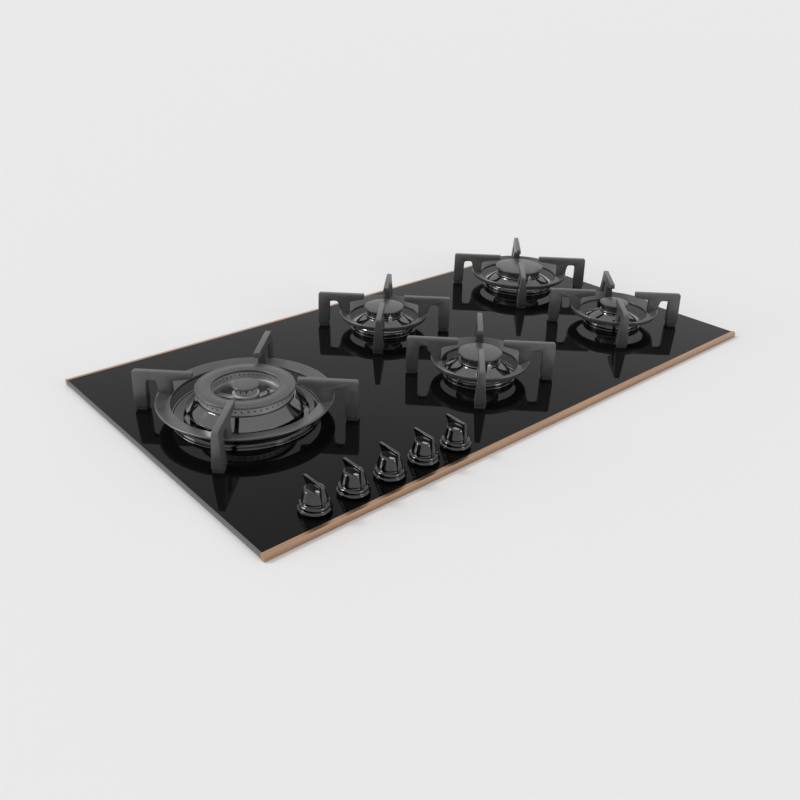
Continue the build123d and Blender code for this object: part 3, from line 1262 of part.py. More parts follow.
def make_mains():
    inner_wall = TRAY_HALF_DEPTH - TRAY_SHEET
    box_rear = inner_wall - TRAY_FLOOR_R
    with BuildPart() as terminal:
        with BuildSketch(Plane(origin=(MAINS_X, box_rear - MAINS_WIDTH / 2, TRAY_FLOOR))):
            Rectangle(MAINS_LENGTH, MAINS_WIDTH)
        extrude(amount=MAINS_HEIGHT)
        with BuildSketch(facing_back(MAINS_X, box_rear, mains_z())):
            Circle(GLAND_R)
        extrude(amount=TRAY_HALF_DEPTH + GLAND_LENGTH / 2 - box_rear)
        with BuildSketch(facing_back(MAINS_X, TRAY_HALF_DEPTH, mains_z())):
            RegularPolygon(GLAND_R + 1.5, 6, major_radius=False)
        extrude(amount=GLAND_LENGTH - 1.5)
        with BuildSketch(facing_back(MAINS_X, box_rear - 8.0, mains_z())):
            Circle(GLAND_BORE_R)
        extrude(amount=30.0, mode=Mode.SUBTRACT)
    keep(terminal.part, "mains_terminal")


# ---------------------------------------------------------------- build everything
make_glass()
make_trims()
make_seal()
make_tray()
make_clamps()
make_wok_base()
make_wok_crown()
make_wok_cap()
make_wok_middle()
for burner in BURNERS:
    keep(make_base(burner), f"base_{burner}")
    keep(make_crown(burner), f"crown_{burner}")
    keep(make_cap(burner), f"cap_{burner}")
with BuildPart() as bowls:
    add(make_wok_bowl())
    for burner in BURNERS:
        add(make_bowl(burner))
keep(bowls.part, "burner_bowls")
for burner in SUPPORTS:
    make_support(burner)
for number, knob_x in enumerate(KNOB_XS, start=1):
    make_knob(number, knob_x)
make_taps()
make_gas_line()
make_supply()
make_ignition()
make_mains()
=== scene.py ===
import math

import bpy
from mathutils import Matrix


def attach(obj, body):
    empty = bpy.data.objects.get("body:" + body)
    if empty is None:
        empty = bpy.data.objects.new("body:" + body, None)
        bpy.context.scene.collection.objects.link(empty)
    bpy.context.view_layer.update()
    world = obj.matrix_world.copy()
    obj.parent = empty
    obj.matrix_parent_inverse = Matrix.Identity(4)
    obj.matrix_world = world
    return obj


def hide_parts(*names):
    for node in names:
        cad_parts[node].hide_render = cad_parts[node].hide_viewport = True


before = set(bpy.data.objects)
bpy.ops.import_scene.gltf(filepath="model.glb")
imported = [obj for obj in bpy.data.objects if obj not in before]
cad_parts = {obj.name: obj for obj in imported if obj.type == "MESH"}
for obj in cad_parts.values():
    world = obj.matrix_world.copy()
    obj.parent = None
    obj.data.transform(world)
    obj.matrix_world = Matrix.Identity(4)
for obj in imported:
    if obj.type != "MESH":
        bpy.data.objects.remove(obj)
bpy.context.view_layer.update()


# --- Camera --------------------------------------------------------------------------------
# Stands in front of the hob's left end, a little over eye level for the burners, and looks
# down along the row of knobs towards the rear right burner.
camera_data = bpy.data.cameras.new("camera")
camera_data.lens = 37.26
camera_data.sensor_width = 36.0
camera_data.clip_end = 200.0
camera = bpy.data.objects.new("camera", camera_data)
bpy.context.scene.collection.objects.link(camera)
camera.location = (-0.78298, -0.81843, 0.52675)
camera.rotation_euler = (1.0846, -0.021344, -0.717366)
bpy.context.scene.camera = camera


# --- Worktop and light ---------------------------------------------------------------------
# A plain pale surface at the level that the glass rests on, with the hob's cut-out in it.
# The world is soft and even. A wide, far lamp gives the shadows and highlights their side, and
# two weak low ones draw bright bands on the steep polished faces.
def clear_selection():
    """Select nothing."""
    bpy.ops.object.select_all(action="DESELECT")


def pick(piece):
    """Select this piece alone and make it the active one."""
    clear_selection()
    piece.select_set(True)
    bpy.context.view_layer.objects.active = piece


def to_edit(piece):
    """Open a piece's mesh for editing, with all of it selected."""
    pick(piece)
    bpy.ops.object.mode_set(mode="EDIT")
    bpy.ops.mesh.select_all(action="SELECT")


def to_object():
    """Close the mesh that is being edited."""
    bpy.ops.object.mode_set(mode="OBJECT")


CUTOUT = (0.844, 0.470, 1)
SPREAD = (90.0, 160.0, 1)  # how far the surface reaches, in cut-outs
clear_selection()
bpy.ops.mesh.primitive_plane_add(size=1.0, location=(0, 0, 0))
floor = bpy.context.object
floor.name = "worktop_surface"
to_edit(floor)
bpy.ops.transform.resize(value=CUTOUT)
bpy.ops.mesh.select_mode(type="EDGE")
bpy.ops.mesh.select_all(action="SELECT")
bpy.ops.mesh.delete(type="ONLY_FACE")
bpy.ops.mesh.select_all(action="SELECT")
bpy.ops.mesh.extrude_edges_move()
bpy.ops.transform.resize(value=SPREAD)
bpy.ops.mesh.select_all(action="SELECT")
bpy.ops.mesh.normals_make_consistent(inside=False)
to_object()

pale = bpy.data.materials.new("pale_worktop")
pale.use_nodes = True
shader = pale.node_tree.nodes["Principled BSDF"]
shader.inputs["Base Color"].default_value = (0.80, 0.80, 0.80, 1)
shader.inputs["Roughness"].default_value = 0.75
floor.data.materials.append(pale)

world = bpy.data.worlds.new("studio")
bpy.context.scene.world = world
world.use_nodes = True
tree = world.node_tree
tree.nodes.clear()
path = tree.nodes.new("ShaderNodeLightPath")
direct_or_mirrored = tree.nodes.new("ShaderNodeMath")
direct_or_mirrored.operation = "MAXIMUM"
seen = tree.nodes.new("ShaderNodeMath")
seen.operation = "MAXIMUM"
lit = tree.nodes.new("ShaderNodeBackground")
lit.inputs["Color"].default_value = (1.0, 1.0, 1.0, 1)
lit.inputs["Strength"].default_value = 0.66
shown = tree.nodes.new("ShaderNodeBackground")
shown.inputs["Color"].default_value = (1.0, 1.0, 1.0, 1)
shown.inputs["Strength"].default_value = 0.81
both = tree.nodes.new("ShaderNodeMixShader")
end = tree.nodes.new("ShaderNodeOutputWorld")
tree.links.new(path.outputs["Is Camera Ray"], direct_or_mirrored.inputs[0])
tree.links.new(path.outputs["Is Glossy Ray"], direct_or_mirrored.inputs[1])
tree.links.new(direct_or_mirrored.outputs[0], seen.inputs[0])
tree.links.new(path.outputs["Is Transmission Ray"], seen.inputs[1])
tree.links.new(seen.outputs[0], both.inputs["Fac"])
tree.links.new(lit.outputs[0], both.inputs[1])
tree.links.new(shown.outputs[0], both.inputs[2])
tree.links.new(both.outputs[0], end.inputs["Surface"])

# name: strength, width in degrees, turns about x, y and z in degrees
LAMPS = {
    "soft_lamp": (1.15, 13, (-30, -34, 0)),
    "low_front_lamp": (0.65, 22, (78, 0, 16)),
    "low_rear_lamp": (0.65, 22, (78, 0, -124)),
}
for name, (energy, width, turn) in LAMPS.items():
    lamp_data = bpy.data.lights.new(name, "SUN")
    lamp_data.energy = energy
    lamp_data.angle = math.radians(width)
    lamp = bpy.data.objects.new(name, lamp_data)
    bpy.context.scene.collection.objects.link(lamp)
    lamp.rotation_euler = [math.radians(degrees) for degrees in turn]

bpy.context.scene.view_settings.view_transform = "Standard"


# --- Glass top -----------------------------------------------------------------------------
# One sheet of toughened glass, black all through, polished on top. Its short edges are ground
# to a bevel that is painted grey, partly for the ground finish and partly as a painted
# highlight of the light that the bevel catches, and wiping leaves the shine of the top
# faintly uneven.
GLASS_TOP = 0.008


def new_material(name, colour, metallic, roughness):
    """A shader with its steady values on its own sockets, and the object's coordinates."""
    material = bpy.data.materials.new(name)
    material.use_nodes = True
    nodes = material.node_tree.nodes
    shader = nodes["Principled BSDF"]
    shader.inputs["Base Color"].default_value = (*colour, 1)
    shader.inputs["Metallic"].default_value = metallic
    shader.inputs["Roughness"].default_value = roughness
    place = nodes.new("ShaderNodeTexCoord")
    return material, shader, place


def add_noise(material, place, scale, detail, stretch=(1, 1, 1)):
    """Noise on the object's own coordinates, stretched along an axis where it is brushed."""
    nodes, links = material.node_tree.nodes, material.node_tree.links
    mapping = nodes.new("ShaderNodeMapping")
    mapping.inputs["Scale"].default_value = stretch
    noise = nodes.new("ShaderNodeTexNoise")
    noise.inputs["Scale"].default_value = scale
    noise.inputs["Detail"].default_value = detail
    links.new(place.outputs["Object"], mapping.inputs["Vector"])
    links.new(mapping.outputs["Vector"], noise.inputs["Vector"])
    return noise


NOISE_LOW = 0.3  # nearly all of the noise lies between these two
NOISE_HIGH = 0.7


def vary_roughness(material, shader, noise, low, high):
    """Spread the roughness between two values, duller where the noise is high."""
    nodes, links = material.node_tree.nodes, material.node_tree.links
    spread = nodes.new("ShaderNodeMapRange")
    spread.inputs["From Min"].default_value = NOISE_LOW
    spread.inputs["From Max"].default_value = NOISE_HIGH
    spread.inputs["To Min"].default_value = low
    spread.inputs["To Max"].default_value = high
    links.new(noise.outputs["Fac"], spread.inputs["Value"])
    links.new(spread.outputs["Result"], shader.inputs["Roughness"])


def vary_colour(material, shader, noise, dark, light):
    """Spread the colour between two tones."""
    nodes, links = material.node_tree.nodes, material.node_tree.links
    ramp = nodes.new("ShaderNodeValToRGB")
    ramp.color_ramp.elements[0].position = NOISE_LOW
    ramp.color_ramp.elements[1].position = NOISE_HIGH
    ramp.color_ramp.elements[0].color = (*dark, 1)
    ramp.color_ramp.elements[1].color = (*light, 1)
    links.new(noise.outputs["Fac"], ramp.inputs["Fac"])
    links.new(ramp.outputs["Color"], shader.inputs["Base Color"])


def roughen_surface(material, shader, noise, height):
    """Real unevenness of the surface, with its height in metres."""
    nodes, links = material.node_tree.nodes, material.node_tree.links
    bump = nodes.new("ShaderNodeBump")
    bump.inputs["Strength"].default_value = 0.6
    bump.inputs["Distance"].default_value = height
    links.new(noise.outputs["Fac"], bump.inputs["Height"])
    links.new(bump.outputs["Normal"], shader.inputs["Normal"])


def finish_node(node, material):
    """Give a solid that keeps its own shape its real finish."""
    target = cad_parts[node]
    if not target.material_slots:
        target.data.materials.append(material)
    for slot in target.material_slots:
        slot.material = material


GLASS_BLACK = (0.004, 0.004, 0.0045)
GROUND_AND_HIGHLIGHT_GREY = (0.13, 0.13, 0.135)
BEVEL_START = 0.4481  # from the middle to where the ground edge begins
black_glass, shader, place = new_material("polished_black_glass", GLASS_BLACK, 0.0, 0.04)
shader.inputs["IOR"].default_value = 1.45
shader.inputs["Specular IOR Level"].default_value = 0.12
wiped = add_noise(black_glass, place, 14.0, 3.0, (1.0, 2.2, 1.0))
vary_roughness(black_glass, shader, wiped, 0.02, 0.055)
nodes, links = black_glass.node_tree.nodes, black_glass.node_tree.links
split = nodes.new("ShaderNodeSeparateXYZ")
from_middle = nodes.new("ShaderNodeMath")
from_middle.operation = "ABSOLUTE"
on_bevel = nodes.new("ShaderNodeMath")
on_bevel.operation = "GREATER_THAN"
on_bevel.inputs[1].default_value = BEVEL_START
# the bevel's grey is partly its ground finish and partly a painted highlight
bevel_tone_and_highlight = nodes.new("ShaderNodeMix")
bevel_tone_and_highlight.data_type = "RGBA"
bevel_tone_and_highlight.inputs["A"].default_value = (*GLASS_BLACK, 1)
bevel_tone_and_highlight.inputs["B"].default_value = (*GROUND_AND_HIGHLIGHT_GREY, 1)
links.new(place.outputs["Object"], split.inputs[0])
links.new(split.outputs["X"], from_middle.inputs[0])
links.new(from_middle.outputs[0], on_bevel.inputs[0])
links.new(on_bevel.outputs[0], bevel_tone_and_highlight.inputs["Factor"])
links.new(bevel_tone_and_highlight.outputs["Result"], shader.inputs["Base Color"])
finish_node("glass_top", black_glass)


# --- Edge strips ---------------------------------------------------------------------------
# Extruded aluminium strips along the front and rear edges, anodised copper and brushed along
# their length, bonded to the glass with a small ledge under it.
copper, shader, place = new_material("copper_anodised_strip", (0.48, 0.305, 0.20), 1.0, 0.30)
brushed = add_noise(copper, place, 260.0, 4.0, (0.03, 1.0, 1.0))
vary_roughness(copper, shader, brushed, 0.24, 0.36)
vary_colour(copper, shader, brushed, (0.44, 0.28, 0.18), (0.52, 0.33, 0.22))
roughen_surface(copper, shader, brushed, 0.00002)
finish_node("edge_trims", copper)


# --- Seal ----------------------------------------------------------------------------------
# Closed-cell foam strip between glass and worktop, cut from a roll with its skin off, so the
# cells show as a fine grain.
foam, shader, place = new_material("closed_cell_foam", (0.035, 0.035, 0.037), 0.0, 0.9)
cells = add_noise(foam, place, 900.0, 2.0)
roughen_surface(foam, shader, cells, 0.0003)
vary_colour(foam, shader, cells, (0.028, 0.028, 0.03), (0.05, 0.05, 0.052))
finish_node("worktop_seal", foam)


# --- Tray and fixings ----------------------------------------------------------------------
# The tray is pressed from galvanised sheet, whose zinc shows a soft spangle. Brackets of the
# same sheet are screwed to its ends, and their screws clamp the hob down.
galvanised, shader, place = new_material("galvanised_sheet", (0.52, 0.53, 0.54), 1.0, 0.42)
nodes, links = galvanised.node_tree.nodes, galvanised.node_tree.links
spangle = nodes.new("ShaderNodeTexVoronoi")
spangle.inputs["Scale"].default_value = 130.0
tone = nodes.new("ShaderNodeValToRGB")
tone.color_ramp.elements[0].color = (0.44, 0.45, 0.46, 1)
tone.color_ramp.elements[1].color = (0.60, 0.61, 0.62, 1)
links.new(place.outputs["Object"], spangle.inputs["Vector"])
links.new(spangle.outputs["Color"], tone.inputs["Fac"])
links.new(tone.outputs["Color"], shader.inputs["Base Color"])
rolled = add_noise(galvanised, place, 60.0, 3.0)
vary_roughness(galvanised, shader, rolled, 0.35, 0.5)
finish_node("base_tray", galvanised)
finish_node("clamp_brackets", galvanised)

zinc, shader, place = new_material("zinc_plated_steel", (0.60, 0.60, 0.58), 1.0, 0.3)
plated = add_noise(zinc, place, 400.0, 3.0)
vary_roughness(zinc, shader, plated, 0.22, 0.38)
vary_colour(zinc, shader, plated, (0.55, 0.55, 0.53), (0.65, 0.65, 0.63))
for node in ("clamp_screws", "bracket_screws", "gas_rail"):
    finish_node(node, zinc)


# --- Burner bowls --------------------------------------------------------------------------
# Rings of dark polished metal on the glass round each burner, with rolled beads outside. Each
# is spun from one outline about the hob's upright axis and then set down at its burner.
MM = 0.001
WELD = 0.000001
SEAM_WELD = 0.000005  # where a turned piece closes on itself
SMOOTH_BELOW = 34.0


def draw_outline(name, corners):
    """Shrink a plane to a point and extrude it round a closed line, which stays in edit mode.

    The corners are x, y and the height above the glass, in millimetres.
    """
    x, y, height = corners[0]
    clear_selection()
    bpy.ops.mesh.primitive_plane_add(size=MM, location=(x * MM, y * MM, GLASS_TOP + height * MM))
    piece = bpy.context.object
    piece.name = name
    piece.data.name = name
    bpy.ops.object.transform_apply(location=True, rotation=True, scale=True)
    bpy.ops.object.mode_set(mode="EDIT")
    bpy.ops.mesh.select_mode(type="VERT")
    bpy.ops.mesh.select_all(action="SELECT")
    bpy.ops.mesh.merge(type="CENTER")
    for here, there in zip(corners, corners[1:] + corners[:1]):
        step = tuple((b - a) * MM for a, b in zip(here, there))
        bpy.ops.mesh.extrude_region_move(TRANSFORM_OT_translate={"value": step})
    bpy.ops.mesh.select_all(action="SELECT")
    bpy.ops.mesh.remove_doubles(threshold=WELD)
    return piece


def turned_piece(name, outline, steps=96):
    """Spin an outline of radii and heights about the hob's upright axis."""
    piece = draw_outline(name, [(radius, 0.0, height) for radius, height in outline])
    bpy.ops.mesh.spin(steps=steps, angle=math.tau, center=(0, 0, 0), axis=(0, 0, 1))
    bpy.ops.mesh.select_all(action="SELECT")
    bpy.ops.mesh.remove_doubles(threshold=SEAM_WELD)
    bpy.ops.mesh.normals_make_consistent(inside=False)
    to_object()
    return piece


def round_edges(piece, width, segments=2, angle=28.0):
    """Round every edge sharper than the angle, by a width in mm, and shade the rest smooth."""
    pick(piece)
    bevel = piece.modifiers.new("edge", "BEVEL")
    bevel.width = width * MM
    bevel.segments = segments
    bevel.limit_method = "ANGLE"
    bevel.angle_limit = math.radians(angle)
    bpy.ops.object.modifier_apply(modifier="edge")
    bpy.ops.object.shade_smooth_by_angle(angle=math.radians(SMOOTH_BELOW))


def another(piece, name):
    """A further piece of the same pattern, with a mesh of its own."""
    pick(piece)
    bpy.ops.object.duplicate()
    copy = bpy.context.object
    copy.name = name
    copy.data.name = name
    return copy


def set_down(piece, centre):
    """Carry a piece from the middle axis to its place, inside its own mesh."""
    to_edit(piece)
    bpy.ops.transform.translate(value=(*centre, 0))
    to_object()


def set_down_copies(pattern, prefix, places):
    """One copy of the pattern at each place, by name; the pattern itself goes to the last."""
    pieces = {}
    for name, centre in places.items():
        last = name == list(places)[-1]
        piece = pattern if last else another(pattern, f"{prefix}_{name}")
        piece.name = f"{prefix}_{name}"
        piece.data.name = piece.name
        set_down(piece, centre)
        pieces[name] = piece
    return pieces


def join_pieces(pieces, name):
    """Make one piece of several. The first keeps its finish slots."""
    clear_selection()
    for piece in pieces:
        piece.select_set(True)
    bpy.context.view_layer.objects.active = pieces[0]
    bpy.ops.object.join()
    pieces[0].name = name
    pieces[0].data.name = name
    return pieces[0]


MID_REAR = {"mid_rear": (0.0165, 0.121)}
MID_FRONT = {"mid_front": (0.0105, -0.097)}
RIGHT_REAR = {"right_rear": (0.3375, 0.121)}
RIGHT_FRONT = {"right_front": (0.325, -0.097)}
WOK_CENTRE = (-0.306, 0.0118)

# radii of cap, crown and bowl in millimetres, number of ports, and centres in metres
BURNERS = {
    "semi": {"cap": 31.0, "crown": 27.5, "bowl": 52.0, "ports": 20, "places": MID_REAR | MID_FRONT},
    "rapid": {"cap": 42.0, "crown": 38.0, "bowl": 62.5, "ports": 26, "places": RIGHT_REAR},
    "small": {"cap": 22.5, "crown": 19.5, "bowl": 46.0, "ports": 14, "places": RIGHT_FRONT},
}

dark_chrome, shader, place = new_material("dark_chrome", (0.15, 0.15, 0.154), 1.0, 0.09)
polish = add_noise(dark_chrome, place, 220.0, 3.0)
vary_roughness(dark_chrome, shader, polish, 0.07, 0.10)
vary_colour(dark_chrome, shader, polish, (0.146, 0.146, 0.150), (0.154, 0.154, 0.158))
# the bowls use the bases' dark chrome made darker still: painted shade for the gap under the pan
# supports' rings
shade_darkened_chrome, shader, place = new_material("shade_darkened_chrome", (0.095, 0.095, 0.098), 1.0, 0.08)
polish = add_noise(shade_darkened_chrome, place, 180.0, 3.0)
vary_roughness(shade_darkened_chrome, shader, polish, 0.07, 0.10)
vary_colour(shade_darkened_chrome, shader, polish, (0.090, 0.090, 0.093), (0.100, 0.100, 0.103))

bowl_rings = []
for size, burner in BURNERS.items():
    bead = burner["bowl"]
    rim = bead - 0.4
    lip = bead - 2.2
    ring = turned_piece(f"bowl_{size}", [
        (bead - 16.0, 0.0), (bead - 0.5, 0.0), (bead, 0.5), (bead, 2.0), (bead - 0.6, 2.8),
        (bead - 1.6, 3.3), (bead - 1.6, 4.0), (rim - 0.3, 4.5), (rim, 5.2), (rim, 6.6),
        (rim - 0.4, 7.8), (lip + 0.6, 8.5), (lip, 8.6), (lip - 0.6, 8.2), (lip - 0.7, 2.2),
        (lip - 2.0, 1.3), (bead - 16.0, 1.2),
    ])
    round_edges(ring, 0.15)
    bowl_rings += set_down_copies(ring, "bowl", burner["places"]).values()

wok_bowl = turned_piece("bowl_wok", [
    (70.0, 0.0), (96.0, 0.0), (96.5, 0.5), (96.5, 1.3), (96.0, 2.0), (94.5, 2.6), (94.3, 3.0),
    (95.0, 3.6), (95.0, 4.6), (94.4, 5.4), (93.2, 5.95), (91.8, 5.9), (90.4, 5.3), (88.4, 3.9),
    (86.0, 2.6), (83.5, 1.7), (81.0, 1.25), (70.0, 1.2),
], steps=160)
round_edges(wok_bowl, 0.15)
set_down(wok_bowl, WOK_CENTRE)
drip_bowls = join_pieces([wok_bowl] + bowl_rings, "drip_bowls")
drip_bowls.data.materials.append(shade_darkened_chrome)
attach(drip_bowls, "hob")
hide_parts("burner_bowls")


# --- Round burner bases --------------------------------------------------------------------
# Aluminium castings: a cup under the glass, a foot flange that holds the bowl down, and over
# it a skirt that is turned and polished to a clean cone. A boss at the front takes the gas.
CUP_BOTTOM = -33.0
BOSS_RADIUS = 0.0042
BOSS_REACH = 0.012
BOSS_ROOT = 0.014  # from the burner's axis, just inside the cup
BOSS_HEIGHT = -0.019
SOCKET_WALL = BOSS_RADIUS * 0.4
SOCKET_DEPTH = 0.006
STRAIGHT = 0.9  # a face looks along an axis when its normal has at least this share of it


def select_faces(piece, wanted):
    """Leave only the wanted faces selected, in edit mode."""
    to_edit(piece)
    bpy.ops.mesh.select_mode(type="FACE")
    bpy.ops.mesh.select_all(action="DESELECT")
    to_object()
    for face in piece.data.polygons:
        face.select = wanted(face)
    bpy.ops.object.mode_set(mode="EDIT")


def gas_boss(name):
    """A round boss towards the front, with a socket for the pipe set into its end."""
    clear_selection()
    bpy.ops.mesh.primitive_cylinder_add(
        vertices=32, radius=BOSS_RADIUS, depth=BOSS_REACH,
        location=(0, -BOSS_ROOT - BOSS_REACH / 2, BOSS_HEIGHT), rotation=(math.radians(90), 0, 0),
    )
    boss = bpy.context.object
    boss.name = name
    bpy.ops.object.transform_apply(location=True, rotation=True, scale=True)
    select_faces(boss, lambda face: face.normal.y < -STRAIGHT)
    bpy.ops.mesh.inset(thickness=SOCKET_WALL)
    bpy.ops.mesh.extrude_region_move(TRANSFORM_OT_translate={"value": (0, SOCKET_DEPTH, 0)})
    to_object()
    return boss


for size, burner in BURNERS.items():
    top = burner["crown"] + 2.4
    skirt = burner["bowl"] - 3.4
    foot = burner["bowl"] - 10.0
    casting = turned_piece(f"casting_{size}", [
        (4.0, CUP_BOTTOM), (17.4, CUP_BOTTOM), (18.0, CUP_BOTTOM + 0.6), (18.0, 1.2), (foot, 1.2),
        (foot, 3.8), (18.4, 3.8), (18.0, 4.4), (18.0, 17.3), (18.6, 17.8), (top - 1.6, 17.8),
        (skirt - 1.6, 7.8), (skirt - 0.3, 7.8), (skirt, 8.1), (skirt, 9.2), (skirt - 0.3, 9.6),
        (top + 0.2, 20.0), (top - 0.1, 20.5), (top - 0.6, 20.9), (top - 1.2, 21.0), (18.0, 21.0),
        (18.0, 22.0), (17.8, 22.2), (13.3, 22.2), (13.3, 16.9), (8.0, 15.2), (8.0, 8.0),
        (15.0, 2.0), (15.0, -21.0), (4.0, -21.0),
    ], steps=120)
    round_edges(casting, 0.12)
    casting = join_pieces([casting, gas_boss(f"boss_{size}")], f"casting_{size}")
    casting.data.materials.append(dark_chrome)
    for name, piece in set_down_copies(casting, "casting", burner["places"]).items():
        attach(piece, "hob")
        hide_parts(f"base_{name}")


# --- Crowns --------------------------------------------------------------------------------
# Flame spreaders of the round burners: turned aluminium pots, darkened by heat, that stand
# in the casting on a spigot. The ports are sawn down from the rim.
dark_alloy, shader, place = new_material("heat_darkened_alloy", (0.17, 0.17, 0.175), 1.0, 0.34)
turned_grain = add_noise(dark_alloy, place, 500.0, 3.0, (1.0, 1.0, 3.0))
vary_roughness(dark_alloy, shader, turned_grain, 0.28, 0.42)
vary_colour(dark_alloy, shader, turned_grain, (0.145, 0.145, 0.15), (0.20, 0.20, 0.205))
roughen_surface(dark_alloy, shader, turned_grain, 0.00003)

STEPS_PER_TOOTH = 9  # faces round the rim from one port to the next
STEPS_PER_SLOT = 2
TOOTH_RISE = 4.2
CROWN_RIM = 28.8  # where the ports' bottoms are
SAME_LEVEL = 0.05


def raise_teeth(piece, inner, outer, height, count):
    """Pull the rim up between the ports, which leaves one sawn slot per port.

    The rim's two radii and its height above the glass are in millimetres.
    """
    def is_tooth(face):
        x, y, z = face.center
        turn = (math.atan2(y, x) / math.tau * count * STEPS_PER_TOOTH) % STEPS_PER_TOOTH
        level = abs(z - GLASS_TOP - height * MM) < SAME_LEVEL * MM
        on_rim = level and face.normal.z > STRAIGHT and inner * MM < math.hypot(x, y) < outer * MM
        return on_rim and turn > STEPS_PER_SLOT

    select_faces(piece, is_tooth)
    bpy.ops.mesh.extrude_region_move(TRANSFORM_OT_translate={"value": (0, 0, TOOTH_RISE * MM)})
    to_object()


def shade_turned(piece):
    """Shade a finely divided piece smooth, and leave its sharp edges as they are."""
    pick(piece)
    bpy.ops.object.shade_smooth_by_angle(angle=math.radians(30))


for size, burner in BURNERS.items():
    outer = burner["crown"]
    wall = outer - 3.6
    crown = turned_piece(f"spreader_{size}", [
        (11.0, 17.2), (13.0, 17.2), (13.0, 22.2), (outer + 1.2, 22.2), (outer + 1.6, 22.6),
        (outer + 1.6, 23.2), (outer + 1.2, 23.7), (outer - 0.6, 24.0), (outer - 0.7, 25.0),
        (outer - 0.2, 25.4), (outer, 25.7), (outer, CROWN_RIM), (wall, CROWN_RIM), (wall, 24.6),
        (11.0, 24.6),
    ], steps=burner["ports"] * STEPS_PER_TOOTH)
    raise_teeth(crown, wall, outer, CROWN_RIM, burner["ports"])
    shade_turned(crown)
    crown.data.materials.append(dark_alloy)
    for name, piece in set_down_copies(crown, "spreader", burner["places"]).items():
        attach(piece, f"crown_{name}")
        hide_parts(f"crown_{name}")


# --- Caps ----------------------------------------------------------------------------------
# Pressed steel lids, lightly domed, with a skirt that centres them in the crown. Their satin
# black enamel is fired on, and its skin is very slightly uneven.
enamel, shader, place = new_material("satin_black_enamel", (0.055, 0.055, 0.057), 0.0, 0.38)
shader.inputs["Coat Weight"].default_value = 0.25
shader.inputs["Coat Roughness"].default_value = 0.25
peel = add_noise(enamel, place, 700.0, 2.0)
roughen_surface(enamel, shader, peel, 0.00006)
mottle = add_noise(enamel, place, 90.0, 4.0)
vary_roughness(enamel, shader, mottle, 0.33, 0.44)
vary_colour(enamel, shader, mottle, (0.050, 0.050, 0.052), (0.062, 0.062, 0.064))


def dome(span, base, rise, count):
    """Points of a shallow dome from its rim to its middle, on one sphere."""
    radius = (span * span + rise * rise) / (2 * rise)
    full = math.asin(span / radius)
    points = []
    for i in range(count + 1):
        angle = full * (1 - i / count)
        points.append((radius * math.sin(angle), base + rise - radius * (1 - math.cos(angle))))
    return points


for size, burner in BURNERS.items():
    edge = burner["cap"]
    skirt = burner["crown"] - 4.0
    lid = turned_piece(f"lid_{size}", [
        (0.0, 33.0), (skirt - 1.5, 33.0), (skirt - 1.5, 30.0), (skirt, 30.0), (skirt, 33.0),
        (edge - 0.9, 33.0), (edge - 0.3, 33.25), (edge, 33.9), (edge, 35.0), (edge - 0.2, 35.5),
    ] + dome(edge - 0.8, 35.8, 2.8, 12))
    round_edges(lid, 0.1, angle=50.0)
    lid.data.materials.append(enamel)
    for name, piece in set_down_copies(lid, "lid", burner["places"]).items():
        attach(piece, f"cap_{name}")
        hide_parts(f"cap_{name}")


# --- Wok burner casting --------------------------------------------------------------------
# One aluminium casting: centre barrel, dished floor, three gas arms and an outer ring whose
# wide skirt is polished. Inside the ring it is left as cast, a matt mid grey.
as_cast, shader, place = new_material("aluminium_as_cast", (0.34, 0.34, 0.345), 1.0, 0.46)
sand = add_noise(as_cast, place, 700.0, 4.0)
roughen_surface(as_cast, shader, sand, 0.0001)
stain = add_noise(as_cast, place, 70.0, 3.0)
vary_roughness(as_cast, shader, stain, 0.40, 0.54)
vary_colour(as_cast, shader, stain, (0.29, 0.29, 0.295), (0.38, 0.38, 0.385))

wok_skirt = turned_piece("wok_skirt", [
    (50.0, 1.2), (80.0, 1.2), (80.0, 3.8), (59.0, 3.8), (58.5, 4.4), (58.5, 16.0), (61.5, 23.6),
    (73.6, 12.4), (75.7, 12.4), (76.0, 12.8), (76.0, 13.8), (75.6, 14.4), (64.0, 26.2),
    (63.6, 26.9), (63.0, 27.4), (62.4, 27.6), (57.5, 27.6), (55.5, 14.0), (50.0, 14.0),
], steps=160)
round_edges(wok_skirt, 0.12)
set_down(wok_skirt, WOK_CENTRE)
wok_skirt.data.materials.append(dark_chrome)
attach(wok_skirt, "hob")
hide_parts("wok_base")

inner_ring = turned_piece("wok_inner_ring", [
    (50.0, 1.2), (50.0, 14.0), (47.5, 14.0), (47.5, 27.6), (42.9, 27.6), (42.4, 27.2), (40.0, 20.0),
    (40.0, 8.0), (44.0, 3.9), (46.0, 1.2),
], steps=160)
round_edges(inner_ring, 0.12)
barrel = turned_piece("wok_barrel", [
    (4.0, CUP_BOTTOM), (17.4, CUP_BOTTOM), (18.0, CUP_BOTTOM + 0.6), (18.0, 1.2), (47.0, 1.2),
    (44.0, 7.2), (36.0, 3.8), (20.0, 3.8), (18.0, 5.0), (17.0, 8.0), (17.0, 28.1), (16.6, 28.5),
    (11.7, 28.5), (11.7, 23.5), (8.0, 21.5), (8.0, 2.0), (15.0, -4.0), (15.0, -21.0), (4.0, -21.0),
])
round_edges(barrel, 0.12)

ARM_MIDDLE = 0.0295  # from the burner's axis
ARM_LENGTH = 0.027
ARM_BREADTH = 0.0108
GAS_ARM_TURNS = (0.0, 120.0, 240.0)
LUG_TURNS = (195.0, -20.0)


def cast_arm(name, low, high, draft):
    """A bar from barrel to ring along x, from a low to a high level in mm, narrower on top."""
    clear_selection()
    middle = GLASS_TOP + (low + high) / 2 * MM
    bpy.ops.mesh.primitive_cube_add(size=1.0, location=(ARM_MIDDLE, 0, middle))
    arm = bpy.context.object
    arm.name = name
    arm.scale = (ARM_LENGTH, ARM_BREADTH, (high - low) * MM)
    bpy.ops.object.transform_apply(location=True, rotation=True, scale=True)
    select_faces(arm, lambda face: face.normal.z > STRAIGHT)
    bpy.ops.transform.resize(value=(1.0, draft, 1.0))
    to_object()
    round_edges(arm, 1.2, segments=3)
    return arm


